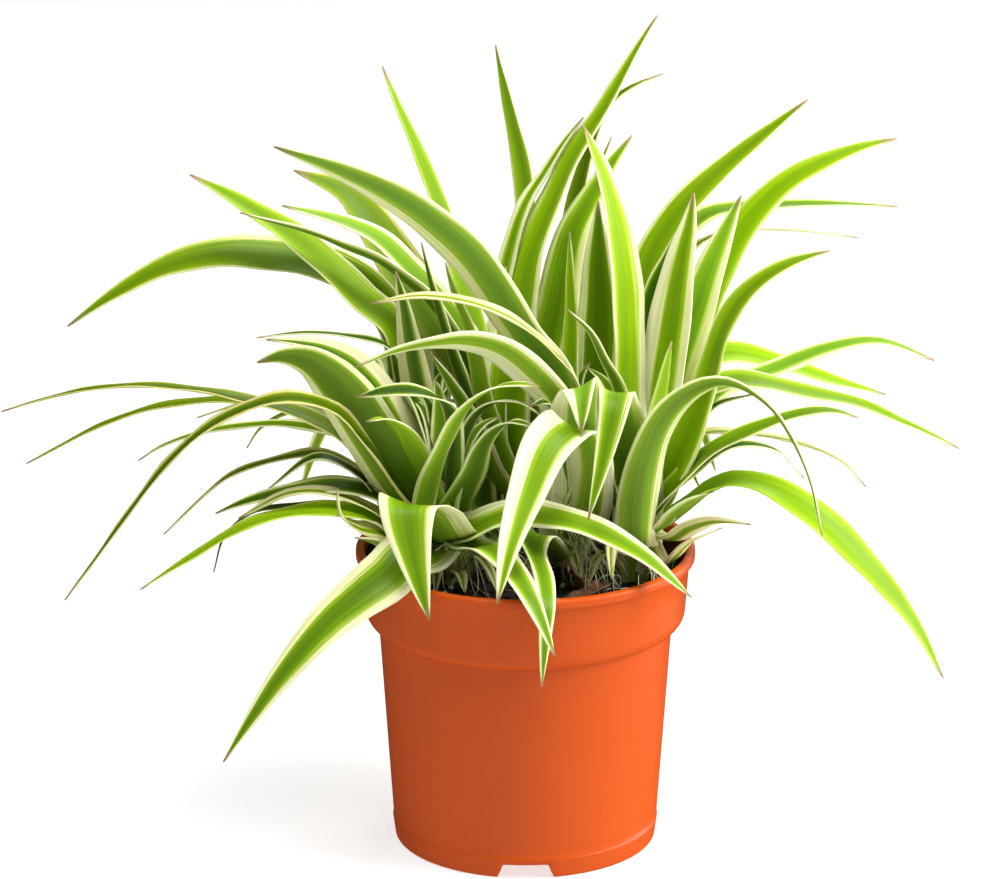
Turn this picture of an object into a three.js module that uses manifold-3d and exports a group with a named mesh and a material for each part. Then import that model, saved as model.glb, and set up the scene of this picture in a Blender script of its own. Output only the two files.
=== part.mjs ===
// A potted spider plant: a plastic nursery pot full of soil, and the leafy crowns that grow in it.
// Millimetres, +Z up. The origin is the middle of the pot's base, on the surface it stands on.
// +X is to the viewer's right and +Y away from the viewer.
import * as THREE from "three";
import { mergeVertices } from "three/addons/utils/BufferGeometryUtils.js";
import Module from "manifold-3d";

const wasm = await Module();
wasm.setup();

// ---- pot ----
const potHeight = 108;
const lipRadius = 60;
const lipHeight = 3.6;
const bandTopRadius = 58.1;
const bandFootRadius = 56.7;
const bandFootHeight = 86;
const shoulderHeight = 80.5; // where the rounded shoulder under the band meets the body
const bodyTopRadius = 52;
const bodyFootRadius = 46.5;
const wall = 1.3;
const footRingWidth = 2.4;
const padRadius = 20; // the flat middle of the base, level with the foot ring
const baseLift = 4; // the ring of base between them stands this high, and the drain holes are in it
const drainHoles = 6;
const drainHoleRadius = 3.4;
const notches = 3; // water leaves the foot ring through these
const notchWidth = 20;
const potSides = 36;

// ---- soil ----
const gap = 0.3; // clear space between pieces that touch on the real thing
const soilHeight = 97;
const soilMound = 2.2; // how far the surface rises and dips
const soilSides = 24;

// ---- crowns: where each stem stands, how thick it is and how far the stem shows ----
const stemSunk = 9; // depth of a stem in its hole
const stemSides = 10;
const crowns = {
  left: { x: -28, y: -2, radius: 9, height: 30 },
  right: { x: 39, y: -2, radius: 8, height: 32 },
  centre: { x: 14, y: 9, radius: 7.5, height: 26 },
  leftBack: { x: -36, y: 25, radius: 7.5, height: 26 },
  back: { x: -5, y: 33, radius: 8.5, height: 30 },
  rightBack: { x: 32, y: 31, radius: 8, height: 28 },
};

// ---- leaves ----
const bladeThickness = 0.8;
const channelledFrom = 12.5; // mm: narrower blades are flat
const rootShare = 0.55; // width of a blade where it clasps the stem, as a share of its full width
const tipShare = 0.06;
const rollAtRoot = 0.45; // share of its turn towards the viewer that a blade has at its root
const stations = [0.28, 0.66]; // where along its length a blade's turn is matched to the picture
const mostTwist = 1.3;

// fullest: the share of the length where a blade is widest; curve: 1 for a straight taper from there
// to the tip, more for one that stays wide.
const outlines = {
  arching: { fullest: 0.42, curve: 2 },
  late: { fullest: 0.62, curve: 1.7 },
  early: { fullest: 0.27, curve: 1.1 },
  folded: { fullest: 0.5, curve: 1.5 },
  pointed: { fullest: 0.44, curve: 1 },
};

// The place of the eye in the reference picture, to read a place in it as a place in millimetres.
const picture = { middleX: 500, middleY: 439.5, focus: 5609 };
const eye = new THREE.Vector3(-9, -1875, 750);
const eyeTilt = THREE.MathUtils.degToRad(17.82);
const eyeForward = new THREE.Vector3(0, Math.cos(eyeTilt), -Math.sin(eyeTilt));
const eyeUp = new THREE.Vector3(0, Math.sin(eyeTilt), Math.cos(eyeTilt));
const eyeRight = new THREE.Vector3(1, 0, 0);

// Each leaf that the picture shows: the crown it grows from, its real width in mm, the width it
// shows in picture pixels (or two of them, for its inner and outer part, with 0 where that isn't
// matched), its outline, and its midrib from the root outwards. A midrib point is the picture's x
// and y in pixels, and its depth behind the pot's axis in mm.
const seenLeaves = [
  // long arches to the upper left
  { crown: "leftBack", width: 16, shows: 34, outline: "late", midrib: [
    [404, 395, 36], [394, 325, 40], [362, 282, 42], [312, 260, 43], [262, 253, 43], [215, 253, 43],
    [160, 268, 43], [110, 296, 43], [67, 326, 43],
  ] },
  { crown: "leftBack", width: 15, shows: 29, outline: "late", midrib: [
    [408, 400, 28], [396, 328, 30], [364, 298, 31], [322, 258, 32], [288, 231, 33], [242, 202, 33],
    [190, 174, 33],
  ] },
  { crown: "leftBack", width: 7, shows: 5, midrib: [
    [410, 400, 22], [390, 347, 22], [345, 335, 22], [307, 332, 22], [257, 337, 22],
  ] },
  { crown: "leftBack", width: 13, shows: 35, midrib: [
    [426, 480, 18], [423, 425, 15], [412, 360, 13], [404, 310, 12], [396, 271, 12],
  ] },
  { crown: "leftBack", width: 9, shows: 7, midrib: [
    [380, 470, 20], [330, 415, 20], [240, 400, 20], [170, 404, 20], [110, 421, 20], [26, 463, 20],
  ] },
  { crown: "leftBack", width: 9, shows: 8, midrib: [
    [390, 490, 16], [350, 440, 13], [290, 424, 12], [215, 429, 12], [165, 444, 12], [138, 460, 12],
  ] },
  { crown: "leftBack", width: 9, shows: 9, midrib: [
    [392, 480, 28], [350, 425, 30], [310, 410, 31], [280, 415, 31], [258, 430, 31], [246, 448, 31],
  ] },
  { crown: "leftBack", width: 6, shows: 5, midrib: [
    [392, 470, 36], [350, 418, 38], [300, 402, 39], [240, 404, 39], [197, 417, 39],
  ] },
  { crown: "back", width: 10, shows: 12, midrib: [
    [468, 360, 28], [432, 302, 26], [408, 280, 25], [380, 260, 24], [345, 245, 23], [312, 232, 23],
    [240, 212, 22],
  ] },
  { crown: "back", width: 13, shows: 22, outline: "late", midrib: [
    [470, 340, 34], [440, 300, 36], [412, 268, 37], [380, 238, 38], [345, 221, 38], [282, 205, 38],
  ] },
  { crown: "back", width: 19, shows: 46, outline: "late", midrib: [
    [480, 380, 46], [443, 329, 50], [415, 291, 53], [388, 246, 55], [366, 214, 56], [345, 191, 56],
    [294, 170, 56],
  ] },
  // upright blades at the top
  { crown: "back", width: 12, shows: 20, midrib: [
    [476, 330, 46], [451, 245, 56], [436, 195, 60], [415, 143, 64], [394, 95, 66], [383, 66, 67],
  ] },
  { crown: "back", width: 13, shows: 22, outline: "late", midrib: [
    [523, 300, 54], [525, 190, 66], [514, 130, 72], [503, 82, 76], [495, 45, 79],
  ] },
  { crown: "back", width: 9, shows: 17, outline: "late", midrib: [
    [497, 380, 30], [500, 300, 34], [512, 240, 38], [527, 199, 42], [543, 174, 45], [565, 140, 47],
    [583, 117, 48],
  ] },
  { crown: "back", width: 20, shows: [50, 25], midrib: [
    [508, 400, 24], [515, 330, 26], [526, 262, 30], [541, 223, 34], [557, 187, 38], [575, 150, 42],
    [602, 109, 46], [632, 56, 52], [657, 15, 56],
  ] },
  { crown: "back", width: 17, shows: 46, midrib: [
    [540, 380, 32], [556, 310, 34], [572, 235, 38], [591, 198, 41], [612, 163, 44], [632, 135, 47],
  ] },
  { crown: "back", width: 10, shows: 15, outline: "late", midrib: [
    [556, 290, 56], [583, 168, 72], [605, 107, 78], [632, 86, 80], [663, 73, 82],
  ] },
  { crown: "back", width: 8, shows: 12, midrib: [
    [556, 300, 50], [575, 230, 56], [594, 180, 60], [611, 137, 63],
  ] },
  { crown: "back", width: 9, shows: 12, midrib: [[470, 400, 22], [437, 300, 15], [422, 242, 12]] },
  { crown: "back", width: 12, shows: 20, midrib: [
    [484, 400, 14], [470, 330, 8], [456, 295, 6], [446, 262, 5],
  ] },
  { crown: "back", width: 11, shows: 22, midrib: [
    [492, 470, 20], [466, 408, 8], [448, 378, 4], [432, 354, 2],
  ] },
  { crown: "back", width: 12, shows: 34, midrib: [
    [486, 535, 22], [480, 490, 24], [475, 440, 26], [478, 396, 28],
  ] },
  { crown: "centre", width: 17, shows: 39, outline: "late", midrib: [
    [574, 460, 8], [556, 380, 5], [520, 332, 2], [481, 272, 0], [451, 239, -2], [401, 201, -3],
    [341, 171, -4], [274, 146, -4],
  ] },
  { crown: "centre", width: 18, shows: 44, outline: "late", midrib: [
    [581, 460, 12], [595, 390, 17], [599, 318, 20], [598, 262, 22], [598, 201, 24],
  ] },
  { crown: "centre", width: 10, shows: 18, midrib: [
    [570, 400, 12], [571, 315, 13], [570, 270, 13], [569, 232, 13],
  ] },
  { crown: "right", width: 14, shows: 31, outline: "late", midrib: [
    [636, 480, 4], [630, 390, 7], [629, 330, 8], [627, 290, 9], [620.5, 236, 10], [607, 180, 11],
    [583.5, 125, 11],
  ] },
  { crown: "right", width: 9, shows: 15, midrib: [
    [634, 470, -4], [618, 385, -6], [605, 360, -7], [590, 331, -8], [568, 309, -8],
  ] },
  { crown: "right", width: 18, shows: 43, outline: "late", midrib: [
    [652, 470, 6], [661, 384, 11], [667, 345, 12], [675, 291, 13], [684, 245, 14], [689, 222, 15],
    [693.5, 193, 16],
  ] },
  { crown: "rightBack", width: 16, shows: 39, outline: "late", midrib: [
    [656, 450, 26], [680, 360, 23], [698, 305, 23], [714, 260, 24], [741, 195, 26],
  ] },
  { crown: "rightBack", width: 15, shows: 33, midrib: [
    [634, 400, 36], [640, 290, 42], [668, 226, 46], [700, 188, 48], [745, 149, 50], [808, 99, 51],
  ] },
  { crown: "rightBack", width: 14, shows: 32, midrib: [
    [640, 420, 30], [645, 350, 33], [655, 290, 34], [668, 258, 34.5], [682, 222, 35],
  ] },
  { crown: "rightBack", width: 14, shows: 29, outline: "late", midrib: [
    [680, 390, 38], [712, 290, 42], [743, 229, 44], [780, 187, 45], [820, 163, 45], [860, 147, 45],
    [897, 138, 45],
  ] },
  { crown: "rightBack", width: 9, shows: 17, outline: "late", midrib: [
    [645, 330, 52], [668, 255, 60], [705, 214, 66], [750, 206, 69], [830, 203, 70], [898, 206, 70],
  ] },
  { crown: "rightBack", width: 7, shows: 8, midrib: [
    [660, 330, 54], [690, 250, 62], [730, 231, 66], [800, 230, 68], [858, 237, 68],
  ] },
  // the right-hand side
  { crown: "right", width: 16, shows: [38, 24], midrib: [
    [656, 510, -5], [676, 460, -5], [700, 400, -4], [723, 327, -3], [747, 291, -2], [786, 264, -1],
    [830, 250, 0],
  ] },
  { crown: "rightBack", width: 13, shows: 24, midrib: [
    [668, 420, 32], [695, 362, 36], [730, 352, 38], [780, 362, 40], [830, 378, 41], [886, 394, 42],
  ] },
  { crown: "rightBack", width: 11, shows: 17, outline: "late", midrib: [
    [680, 450, 26], [720, 392, 26], [780, 367, 27], [830, 348, 27], [880, 341, 27], [935, 360, 27],
  ] },
  { crown: "right", width: 12, shows: 17, midrib: [
    [660, 480, 2], [690, 400, 6], [735, 379, 8], [800, 390, 9], [860, 403, 9], [910, 424, 9], [960, 448, 9],
  ] },
  { crown: "right", width: 9, shows: 11, midrib: [
    [668, 500, 8], [692, 440, 11], [712, 407, 12], [755, 393, 12],
  ] },
  { crown: "right", width: 12, shows: 14, midrib: [
    [656, 530, -8], [676, 482, -10], [706, 453, -11], [750, 430, -12], [800, 413, -12], [832, 410, -12],
    [858, 417, -12],
  ] },
  { crown: "rightBack", width: 7, shows: 5, midrib: [
    [664, 480, 20], [700, 434, 19], [756, 434, 19], [808, 445, 19], [845, 463, 19], [867, 487, 19],
  ] },
  { crown: "right", width: 8, shows: 8, midrib: [
    [664, 520, 2], [695, 470, 3], [735, 445, 3], [775, 449, 3], [805, 478, 3],
  ] },
  { crown: "right", width: 15, shows: [40, 8], outline: "early", midrib: [
    [634, 572, -12], [636, 540, -17], [638, 505, -20], [645, 466, -22], [654, 436, -23], [666, 415, -24],
    [680, 400, -24.5], [697, 388, -25], [714, 382, -25], [735, 384, -25], [769, 405, -27], [791, 436, -28],
    [810, 478, -30], [823, 536, -31],
  ] },
  { crown: "right", width: 14, shows: [7, 31], outline: "folded", midrib: [
    [652, 535, -6], [668, 518, -8], [690, 502, -10], [704, 491, -12], [718, 484, -13], [730, 480, -14],
    [750, 481, -15], [770, 487, -16], [793, 499, -17], [821, 519, -18], [857, 553, -19], [910, 616, -21],
    [944, 678, -22],
  ] },
  { crown: "right", width: 11, shows: 16, midrib: [
    [656, 552, -8], [672, 538, -12], [690, 528, -14], [712, 521, -16], [730, 521, -17], [751, 524, -17],
  ] },
  { crown: "right", width: 8, shows: 8, midrib: [[662, 564, -12], [690, 541, -22], [722, 527, -25]] },
  { crown: "right", width: 19, shows: [0, 54], outline: "pointed", midrib: [
    [644, 540, -3], [642, 480, -7], [637, 430, -12], [626, 396, -24], [614, 389, -33], [606, 415, -41],
    [599, 460, -45], [588, 520, -50],
  ] },
  { crown: "right", width: 11, shows: 22, midrib: [
    [652, 480, -9], [656, 420, -10], [664, 375, -10], [671, 341, -9],
  ] },
  { crown: "right", width: 8, shows: 10, midrib: [[628, 540, -8], [616, 500, -12], [609, 462, -14]] },
  { crown: "right", width: 9, shows: 12, midrib: [[624, 540, 0], [612, 500, 3], [602, 460, 5]] },
  { crown: "right", width: 6, shows: 9, midrib: [
    [622, 548, -12], [612, 546, -20], [611, 562, -24], [612, 580, -26],
  ] },
  { crown: "right", width: 8, shows: 14, midrib: [
    [654, 548, -10], [662, 526, -13], [672, 513, -15], [690, 500, -17], [713, 491, -18],
  ] },
  // folded blades in the middle
  { crown: "centre", width: 8, shows: 7, midrib: [
    [577, 440, 0], [574, 376, -5], [550, 347, -9], [515, 319, -12], [470, 301, -14], [420, 295, -15],
    [371, 303, -15],
  ] },
  { crown: "centre", width: 14, shows: 34, midrib: [
    [572, 470, 0], [560, 410, -8], [535, 378, -14], [500, 350, -19], [465, 341, -22], [430, 343, -24],
    [390, 352, -25], [354, 367, -26],
  ] },
  { crown: "centre", width: 20, shows: [0, 50], outline: "pointed", midrib: [
    [574, 490, -3], [569, 430, -12], [574, 392, -22], [580, 384, -28], [583, 397, -33], [580, 434, -36],
  ] },
  { crown: "centre", width: 9, shows: 13, midrib: [
    [562, 470, -6], [556, 418, -13], [546, 401, -16], [529, 407, -18],
  ] },
  { crown: "centre", width: 19, shows: [0, 56], outline: "folded", midrib: [
    [584, 510, -6], [588, 455, -21], [573, 424, -32], [549, 441, -41], [525, 497, -52], [508, 550, -62],
    [497, 604, -69],
  ] },
  { crown: "centre", width: 11, shows: 22, outline: "folded", midrib: [
    [560, 556, -3], [540, 532, -22], [533, 545, -38], [543, 575, -53], [547, 604, -63.5], [545, 640, -66],
    [542, 687, -67],
  ] },
  { crown: "centre", width: 11, shows: 24, midrib: [[578, 530, 0], [580, 490, -6], [584, 445, -10]] },
  { crown: "left", width: 29, shows: [0, 84], outline: "pointed", midrib: [
    [448, 560, -12], [450, 530, -22], [440, 511, -31], [424, 503, -38], [409, 512, -44], [408, 530, -48],
    [413, 555, -52], [422, 592, -56], [429, 620, -58],
  ] },
  { crown: "left", width: 14, shows: 30, midrib: [
    [430, 520, -10], [424, 480, -16], [417, 450, -20], [402, 428, -23], [384, 418, -25], [366, 421, -26],
  ] },
  { crown: "left", width: 12, shows: 16, midrib: [
    [448, 500, -10], [455, 445, -14], [446, 403, -17], [420, 391, -20], [390, 390, -22], [356, 397, -23],
  ] },
  { crown: "left", width: 10, shows: [26, 15], midrib: [
    [424, 525, -12], [425, 498, -16], [432, 472, -20], [444, 443, -24], [458, 417, -26], [474, 399, -28],
    [498, 386, -29], [520, 383.5, -30], [540, 386, -30],
  ] },
  { crown: "left", width: 14, shows: [35, 26], midrib: [
    [464, 535, -6], [469, 498, -11], [474, 471, -15], [483, 445, -19], [498, 427, -22], [514, 421, -24],
    [535, 426, -26],
  ] },
  { crown: "left", width: 9, shows: 11, midrib: [
    [452, 500, -2], [464, 435, -6], [488, 404, -8], [520, 402, -10], [544, 417, -12],
  ] },
  { crown: "left", width: 14, shows: 27, outline: "folded", midrib: [
    [452, 556, -8], [472, 528, -20], [505, 514, -30], [545, 515, -36], [590, 526, -41], [640, 552, -45],
    [692, 597, -49],
  ] },
  { crown: "left", width: 13, shows: 28, outline: "folded", midrib: [
    [452, 562, -10], [470, 545, -26], [492, 549, -42], [511, 568, -56], [528, 593, -67], [541, 620, -71],
    [555, 656, -73],
  ] },
  { crown: "left", width: 8, shows: 7, midrib: [[470, 524, -8], [492, 509, -10], [520, 505, -11]] },
  // the left-hand side
  { crown: "left", width: 21, shows: 56, outline: "late", midrib: [
    [420, 520, -7.5], [398, 476, -10.5], [376, 441, -12.5], [359, 415, -14], [341, 390, -15.5],
    [322, 370, -16.5], [303, 359, -16.5], [280, 356, -16.5], [257, 362, -16.5],
  ] },
  { crown: "left", width: 14, shows: 27, midrib: [
    [424, 490, -1], [406, 430, 1], [390, 400, 1], [374, 378, 1], [352, 358, 1], [325, 346, 1], [298, 341, 1],
    [266, 339, 1],
  ] },
  { crown: "left", width: 12, shows: [14, 6], midrib: [
    [408, 515, -1], [368, 465, -2], [342, 436, -2], [312, 418, -2], [280, 407, -2], [243, 398, -2],
    [187, 388, -2], [140, 385, -2], [93, 388, -2], [45, 398, -2], [1, 411, -2],
  ] },
  { crown: "left", width: 10, shows: 9, midrib: [
    [408, 500, -12], [368, 444, -18], [340, 412, -21], [313, 400, -22], [284, 397, -23], [248, 406, -23],
    [210, 425, -23], [173, 456, -23], [136, 502, -23], [97, 556, -23], [64, 600, -23],
  ] },
  { crown: "left", width: 9, shows: 7, midrib: [
    [402, 530, 2], [362, 475, 3], [325, 453, 3], [281, 458, 3], [230, 475, 3], [163, 534, 3],
  ] },
  { crown: "left", width: 8, shows: 9, midrib: [
    [398, 520, -4], [360, 475, -5], [318, 456, -6], [268, 488, -6],
  ] },
  { crown: "left", width: 14, shows: 18, midrib: [
    [415, 535, -6], [387, 498, -9], [355, 487, -10], [327, 485, -11], [280, 492, -12], [243, 502, -12],
    [215, 513, -12],
  ] },
  { crown: "left", width: 10, shows: 10, midrib: [
    [412, 545, -9], [378, 512, -14], [335, 493, -17], [290, 492, -18], [238, 518, -18],
  ] },
  { crown: "left", width: 12, shows: 11, midrib: [
    [412, 552, -12], [375, 518, -18], [336, 509, -21], [299, 511, -22], [261, 519, -23], [228, 534, -23],
    [187, 559, -23], [140, 589, -23],
  ] },
  { crown: "left", width: 6, shows: 4, midrib: [
    [400, 530, -3], [332, 503, -5], [290, 505, -6], [250, 513, -6], [224, 536, -6], [213, 572, -6],
  ] },
  { crown: "left", width: 12, shows: 18, midrib: [
    [412, 556, -14], [384, 533, -23], [358, 527, -27], [341, 514, -28], [338, 489, -28],
  ] },
  { crown: "left", width: 14, shows: 26, midrib: [
    [408, 560, -20], [392, 548, -26], [372, 540, -30], [355, 537, -32],
  ] },
  { crown: "left", width: 19, shows: 51, outline: "pointed", midrib: [
    [425, 551, -28], [405, 557, -38], [388, 575, -44], [356, 599, -49], [335, 616, -51], [306, 646, -54],
    [277, 682, -55.5], [253, 716, -56.5], [223, 762, -57],
  ] },
];

function placeInPicture(pixelX, pixelY, depth) {
  const ray = eyeForward.clone();
  ray.addScaledVector(eyeRight, (pixelX - picture.middleX) / picture.focus);
  ray.addScaledVector(eyeUp, (picture.middleY - pixelY) / picture.focus);
  return eye.clone().addScaledVector(ray, (depth - eye.y) / ray.y);
}

// The share of a blade's half width at a place along it.
function taper(along, { fullest, curve }) {
  if (along < fullest) {
    return THREE.MathUtils.lerp(rootShare, 1, THREE.MathUtils.smoothstep(along, 0, fullest));
  }
  const outward = (along - fullest) / (1 - fullest);
  return Math.max(tipShare, (1 - outward ** curve) ** 0.9);
}

// How far a blade turns about its midrib for its width to show as it does in the picture; of the
// four turns that do, the nearest to the one before.
function turnToShow(across, tangent, place, share, before) {
  const view = place.clone().sub(eye).normalize();
  const seenAcross = view.clone().cross(tangent).normalize();
  const upper = across.clone().cross(tangent);
  const level = across.dot(seenAcross);
  const tilted = upper.dot(seenAcross);
  const most = Math.atan2(tilted, level);
  const off = Math.acos(Math.min(1, share / Math.hypot(level, tilted)));
  const steps = [most + off, most - off, most + off - Math.PI, most - off + Math.PI].map((turn) => (
    Math.atan2(Math.sin(turn - before), Math.cos(turn - before))
  ));
  return before + steps.reduce((least, step) => (Math.abs(step) < Math.abs(least) ? step : least));
}

function solidFrom(geometry) {
  const bare = geometry.clone();
  bare.deleteAttribute("normal");
  bare.deleteAttribute("uv");
  const merged = mergeVertices(bare, 1e-4);
  const mesh = new wasm.Mesh({
    numProp: 3,
    vertProperties: merged.attributes.position.array,
    triVerts: Uint32Array.from(merged.index.array),
  });
  return new wasm.Manifold(mesh);
}

function geometryFrom(solid) {
  const mesh = solid.getMesh();
  const geometry = new THREE.BufferGeometry();
  geometry.setAttribute("position", new THREE.BufferAttribute(mesh.vertProperties, 3));
  geometry.setIndex(new THREE.BufferAttribute(mesh.triVerts, 1));
  geometry.computeVertexNormals();
  return geometry;
}

// Leaves that cross can close off a small space between them, which is filled.
function withoutHollows(solid) {
  return solid.decompose().reduce((best, body) => (body.volume() > best.volume() ? body : best));
}

// More steps along a blade that is long or bends a lot.
function bladeStepsOn(midrib) {
  const samples = 24;
  let bend = 0;
  for (let index = 1; index <= samples; index += 1) {
    const before = midrib.getTangentAt((index - 1) / samples);
    bend += midrib.getTangentAt(index / samples).angleTo(before);
  }
  return Math.round(THREE.MathUtils.clamp(1 + midrib.getLength() / 74 + bend * 1.2, 3, 8));
}

// A thin arched blade, closed at the root and the tip and joined from short slabs, so that it stays
// sound where it bends sharply. A wide one has a shallow channel along its midrib.
function bladeSolid(points, width, shows, outline = outlines.arching) {
  const midrib = new THREE.CatmullRomCurve3(points, false, "centripetal");
  const steps = bladeStepsOn(midrib);
  const root = points[0];
  const reach = midrib.getPointAt(0.75);
  const heading = new THREE.Vector3(reach.x - root.x, reach.y - root.y, 0).normalize();
  const across = new THREE.Vector3(heading.y, -heading.x, 0);
  const squareTo = (tangent) => across.clone().addScaledVector(tangent, -across.dot(tangent)).normalize();
  const turns = [];
  stations.forEach((station, index) => {
    const before = turns[index - 1] ?? 0;
    const place = midrib.getPointAt(station);
    const tangent = midrib.getTangentAt(station);
    const share = (shows[index] / width) * (eye.distanceTo(place) / picture.focus);
    turns.push(share > 0 ? turnToShow(squareTo(tangent), tangent, place, share, before) : before);
  });
  const innerTurn = shows[0] > 0 ? turns[0] : turns[1];
  const twist = THREE.MathUtils.clamp(turns[1] - innerTurn, -mostTwist, mostTwist);
  const lanes = width < channelledFrom ? [-1, 1] : [-1, 0, 1];

  const rows = [];
  for (let step = 0; step <= steps; step += 1) {
    const along = step / steps;
    const place = midrib.getPointAt(along);
    const tangent = midrib.getTangentAt(along);
    const rolled = THREE.MathUtils.lerp(rollAtRoot, 1, THREE.MathUtils.smoothstep(along, 0, stations[0]));
    const turn = innerTurn * rolled + twist * THREE.MathUtils.smoothstep(along, ...stations);
    const side = squareTo(tangent).applyAxisAngle(tangent, -turn);
    const upper = side.clone().cross(tangent);
    const half = (width / 2) * taper(along, outline);
    const channel = half * THREE.MathUtils.lerp(0.5, 0.16, THREE.MathUtils.smoothstep(along, 0, 0.5));
    const thick = Math.min(bladeThickness, Math.max(0.6, half));
    rows.push(lanes.map((lane) => [0, -thick].map((level) => {
      const lift = level + (lane === 0 ? -channel / 2 : channel / 2);
      return place.clone().addScaledVector(side, half * lane).addScaledVector(upper, lift).toArray();
    })));
  }

  const slabs = [];
  for (let step = 0; step < steps; step += 1) {
    for (let lane = 0; lane < lanes.length - 1; lane += 1) {
      slabs.push(wasm.Manifold.hull([
        ...rows[step][lane], ...rows[step][lane + 1], ...rows[step + 1][lane], ...rows[step + 1][lane + 1],
      ]));
    }
  }
  return wasm.Manifold.union(slabs);
}

// Every blade starts inside its crown's stem and leaves it on the side that it grows to: a low
// one near the soil, a steep one near the top and the middle.
function rootedPath(crown, outer) {
  const { x, y, radius, height } = crowns[crown];
  const clear = outer.filter((point) => Math.hypot(point.x - x, point.y - y) > radius * 1.35
    || point.z > soilHeight + height * 1.1);
  const first = clear[0];
  const out = new THREE.Vector3(first.x - x, first.y - y, 0);
  const steep = THREE.MathUtils.clamp((first.z - soilHeight) / (out.length() + height), 0, 1);
  const level = THREE.MathUtils.clamp((first.z - soilHeight) / (height * 1.8), 0, 1);
  out.normalize().multiplyScalar(radius * THREE.MathUtils.lerp(0.6, 0.2, steep));
  const root = new THREE.Vector3(x + out.x, y + out.y, soilHeight + height * THREE.MathUtils.lerp(0, 0.5, level));
  const neck = new THREE.Vector3(x + out.x * 1.6, y + out.y * 1.6, root.z + height * 0.36);
  return [root, neck, ...clear];
}

function seenBlade(leaf) {
  const outer = leaf.midrib.map(([x, y, depth]) => placeInPicture(x, y, depth));
  const shows = Array.isArray(leaf.shows) ? leaf.shows : [leaf.shows, leaf.shows];
  return bladeSolid(rootedPath(leaf.crown, outer), leaf.width, shows, outlines[leaf.outline]);
}

function stemSolid({ x, y, radius, height }) {
  const profile = [
    new THREE.Vector2(0, -stemSunk + gap),
    new THREE.Vector2(radius * 0.92, -stemSunk + gap),
    new THREE.Vector2(radius, 0),
    new THREE.Vector2(radius * 0.85, height * 0.65),
    new THREE.Vector2(0, height),
  ];
  const geometry = new THREE.LatheGeometry(profile, stemSides);
  geometry.rotateX(Math.PI / 2);
  geometry.translate(x, y, soilHeight);
  return solidFrom(geometry);
}

// Leaves on the far side and low between the stems, which the picture hides. Each one's heading is
// in degrees anticlockwise from +X, and its reach, rise, droop from the top and width are in mm.
const hiddenLeaves = [
  { crown: "leftBack", heading: 82, reach: 112, rise: 52, droop: 62, width: 12 },
  { crown: "leftBack", heading: 103, reach: 104, rise: 40, droop: 58, width: 12 },
  { crown: "leftBack", heading: 124, reach: 84, rise: 34, droop: 50, width: 10 },
  { crown: "leftBack", heading: 94, reach: 70, rise: 66, droop: 22, width: 10 },
  { crown: "back", heading: 92, reach: 118, rise: 62, droop: 72, width: 14 },
  { crown: "back", heading: 77, reach: 96, rise: 54, droop: 66, width: 12 },
  { crown: "back", heading: 109, reach: 110, rise: 56, droop: 70, width: 12 },
  { crown: "back", heading: 84, reach: 84, rise: 80, droop: 30, width: 11 },
  { crown: "back", heading: 100, reach: 86, rise: 38, droop: 56, width: 11 },
  { crown: "back", heading: 64, reach: 66, rise: 40, droop: 44, width: 9 },
  { crown: "rightBack", heading: 88, reach: 112, rise: 54, droop: 66, width: 13 },
  { crown: "rightBack", heading: 70, reach: 98, rise: 46, droop: 60, width: 12 },
  { crown: "rightBack", heading: 98, reach: 90, rise: 58, droop: 50, width: 11 },
  { crown: "rightBack", heading: 78, reach: 74, rise: 74, droop: 26, width: 10 },
  { crown: "rightBack", heading: 52, reach: 62, rise: 38, droop: 42, width: 10 },
  { crown: "right", heading: 40, reach: 30, rise: 26, droop: 18, width: 9 },
  { crown: "right", heading: 275, reach: 20, rise: 22, droop: 14, width: 7 },
  { crown: "right", heading: 250, reach: 24, rise: 20, droop: 16, width: 7 },
  { crown: "centre", heading: 262, reach: 26, rise: 22, droop: 18, width: 8 },
  { crown: "centre", heading: 300, reach: 22, rise: 30, droop: 14, width: 8 },
  { crown: "centre", heading: 120, reach: 20, rise: 52, droop: 6, width: 9 },
];

function hiddenBlade(leaf) {
  const { x, y, height } = crowns[leaf.crown];
  const angle = THREE.MathUtils.degToRad(leaf.heading);
  const foot = soilHeight + height * 0.6;
  const out = (share, lift) => new THREE.Vector3(
    x + Math.cos(angle) * leaf.reach * share,
    y + Math.sin(angle) * leaf.reach * share,
    foot + lift,
  );
  const upright = leaf.droop < leaf.rise * 0.4;
  const outer = upright ? [
    out(0.12, leaf.rise * 0.4),
    out(0.34, leaf.rise * 0.72),
    out(0.64, leaf.rise * 0.93),
    out(1, leaf.rise),
  ] : [
    out(0.28, leaf.rise * 0.78),
    out(0.58, leaf.rise),
    out(0.82, leaf.rise - leaf.droop * 0.45),
    out(1, leaf.rise - leaf.droop),
  ];
  return bladeSolid(rootedPath(leaf.crown, outer), leaf.width, [0, 0]);
}

function bodyRadiusAt(z) {
  return THREE.MathUtils.mapLinear(z, 0, shoulderHeight, bodyFootRadius, bodyTopRadius);
}

function bandRadiusAt(z) {
  const bandTop = potHeight - lipHeight;
  return THREE.MathUtils.mapLinear(z, bandFootHeight, bandTop, bandFootRadius, bandTopRadius);
}

// The rounded shoulder that joins the body to the wider band, for a wall this far inside the outside.
function shoulder(inset, steps) {
  const points = [];
  const inner = bodyRadiusAt(shoulderHeight) - inset;
  for (let step = 0; step <= steps; step += 1) {
    const angle = (Math.PI / 2) * (step / steps);
    const radius = inner + (bandFootRadius - inset - inner) * Math.sin(angle);
    points.push(new THREE.Vector2(radius, bandFootHeight - (bandFootHeight - shoulderHeight) * Math.cos(angle)));
  }
  return points;
}

function turned(profile, sides) {
  const geometry = new THREE.LatheGeometry(profile, sides);
  geometry.rotateX(Math.PI / 2);
  return geometry;
}

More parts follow.
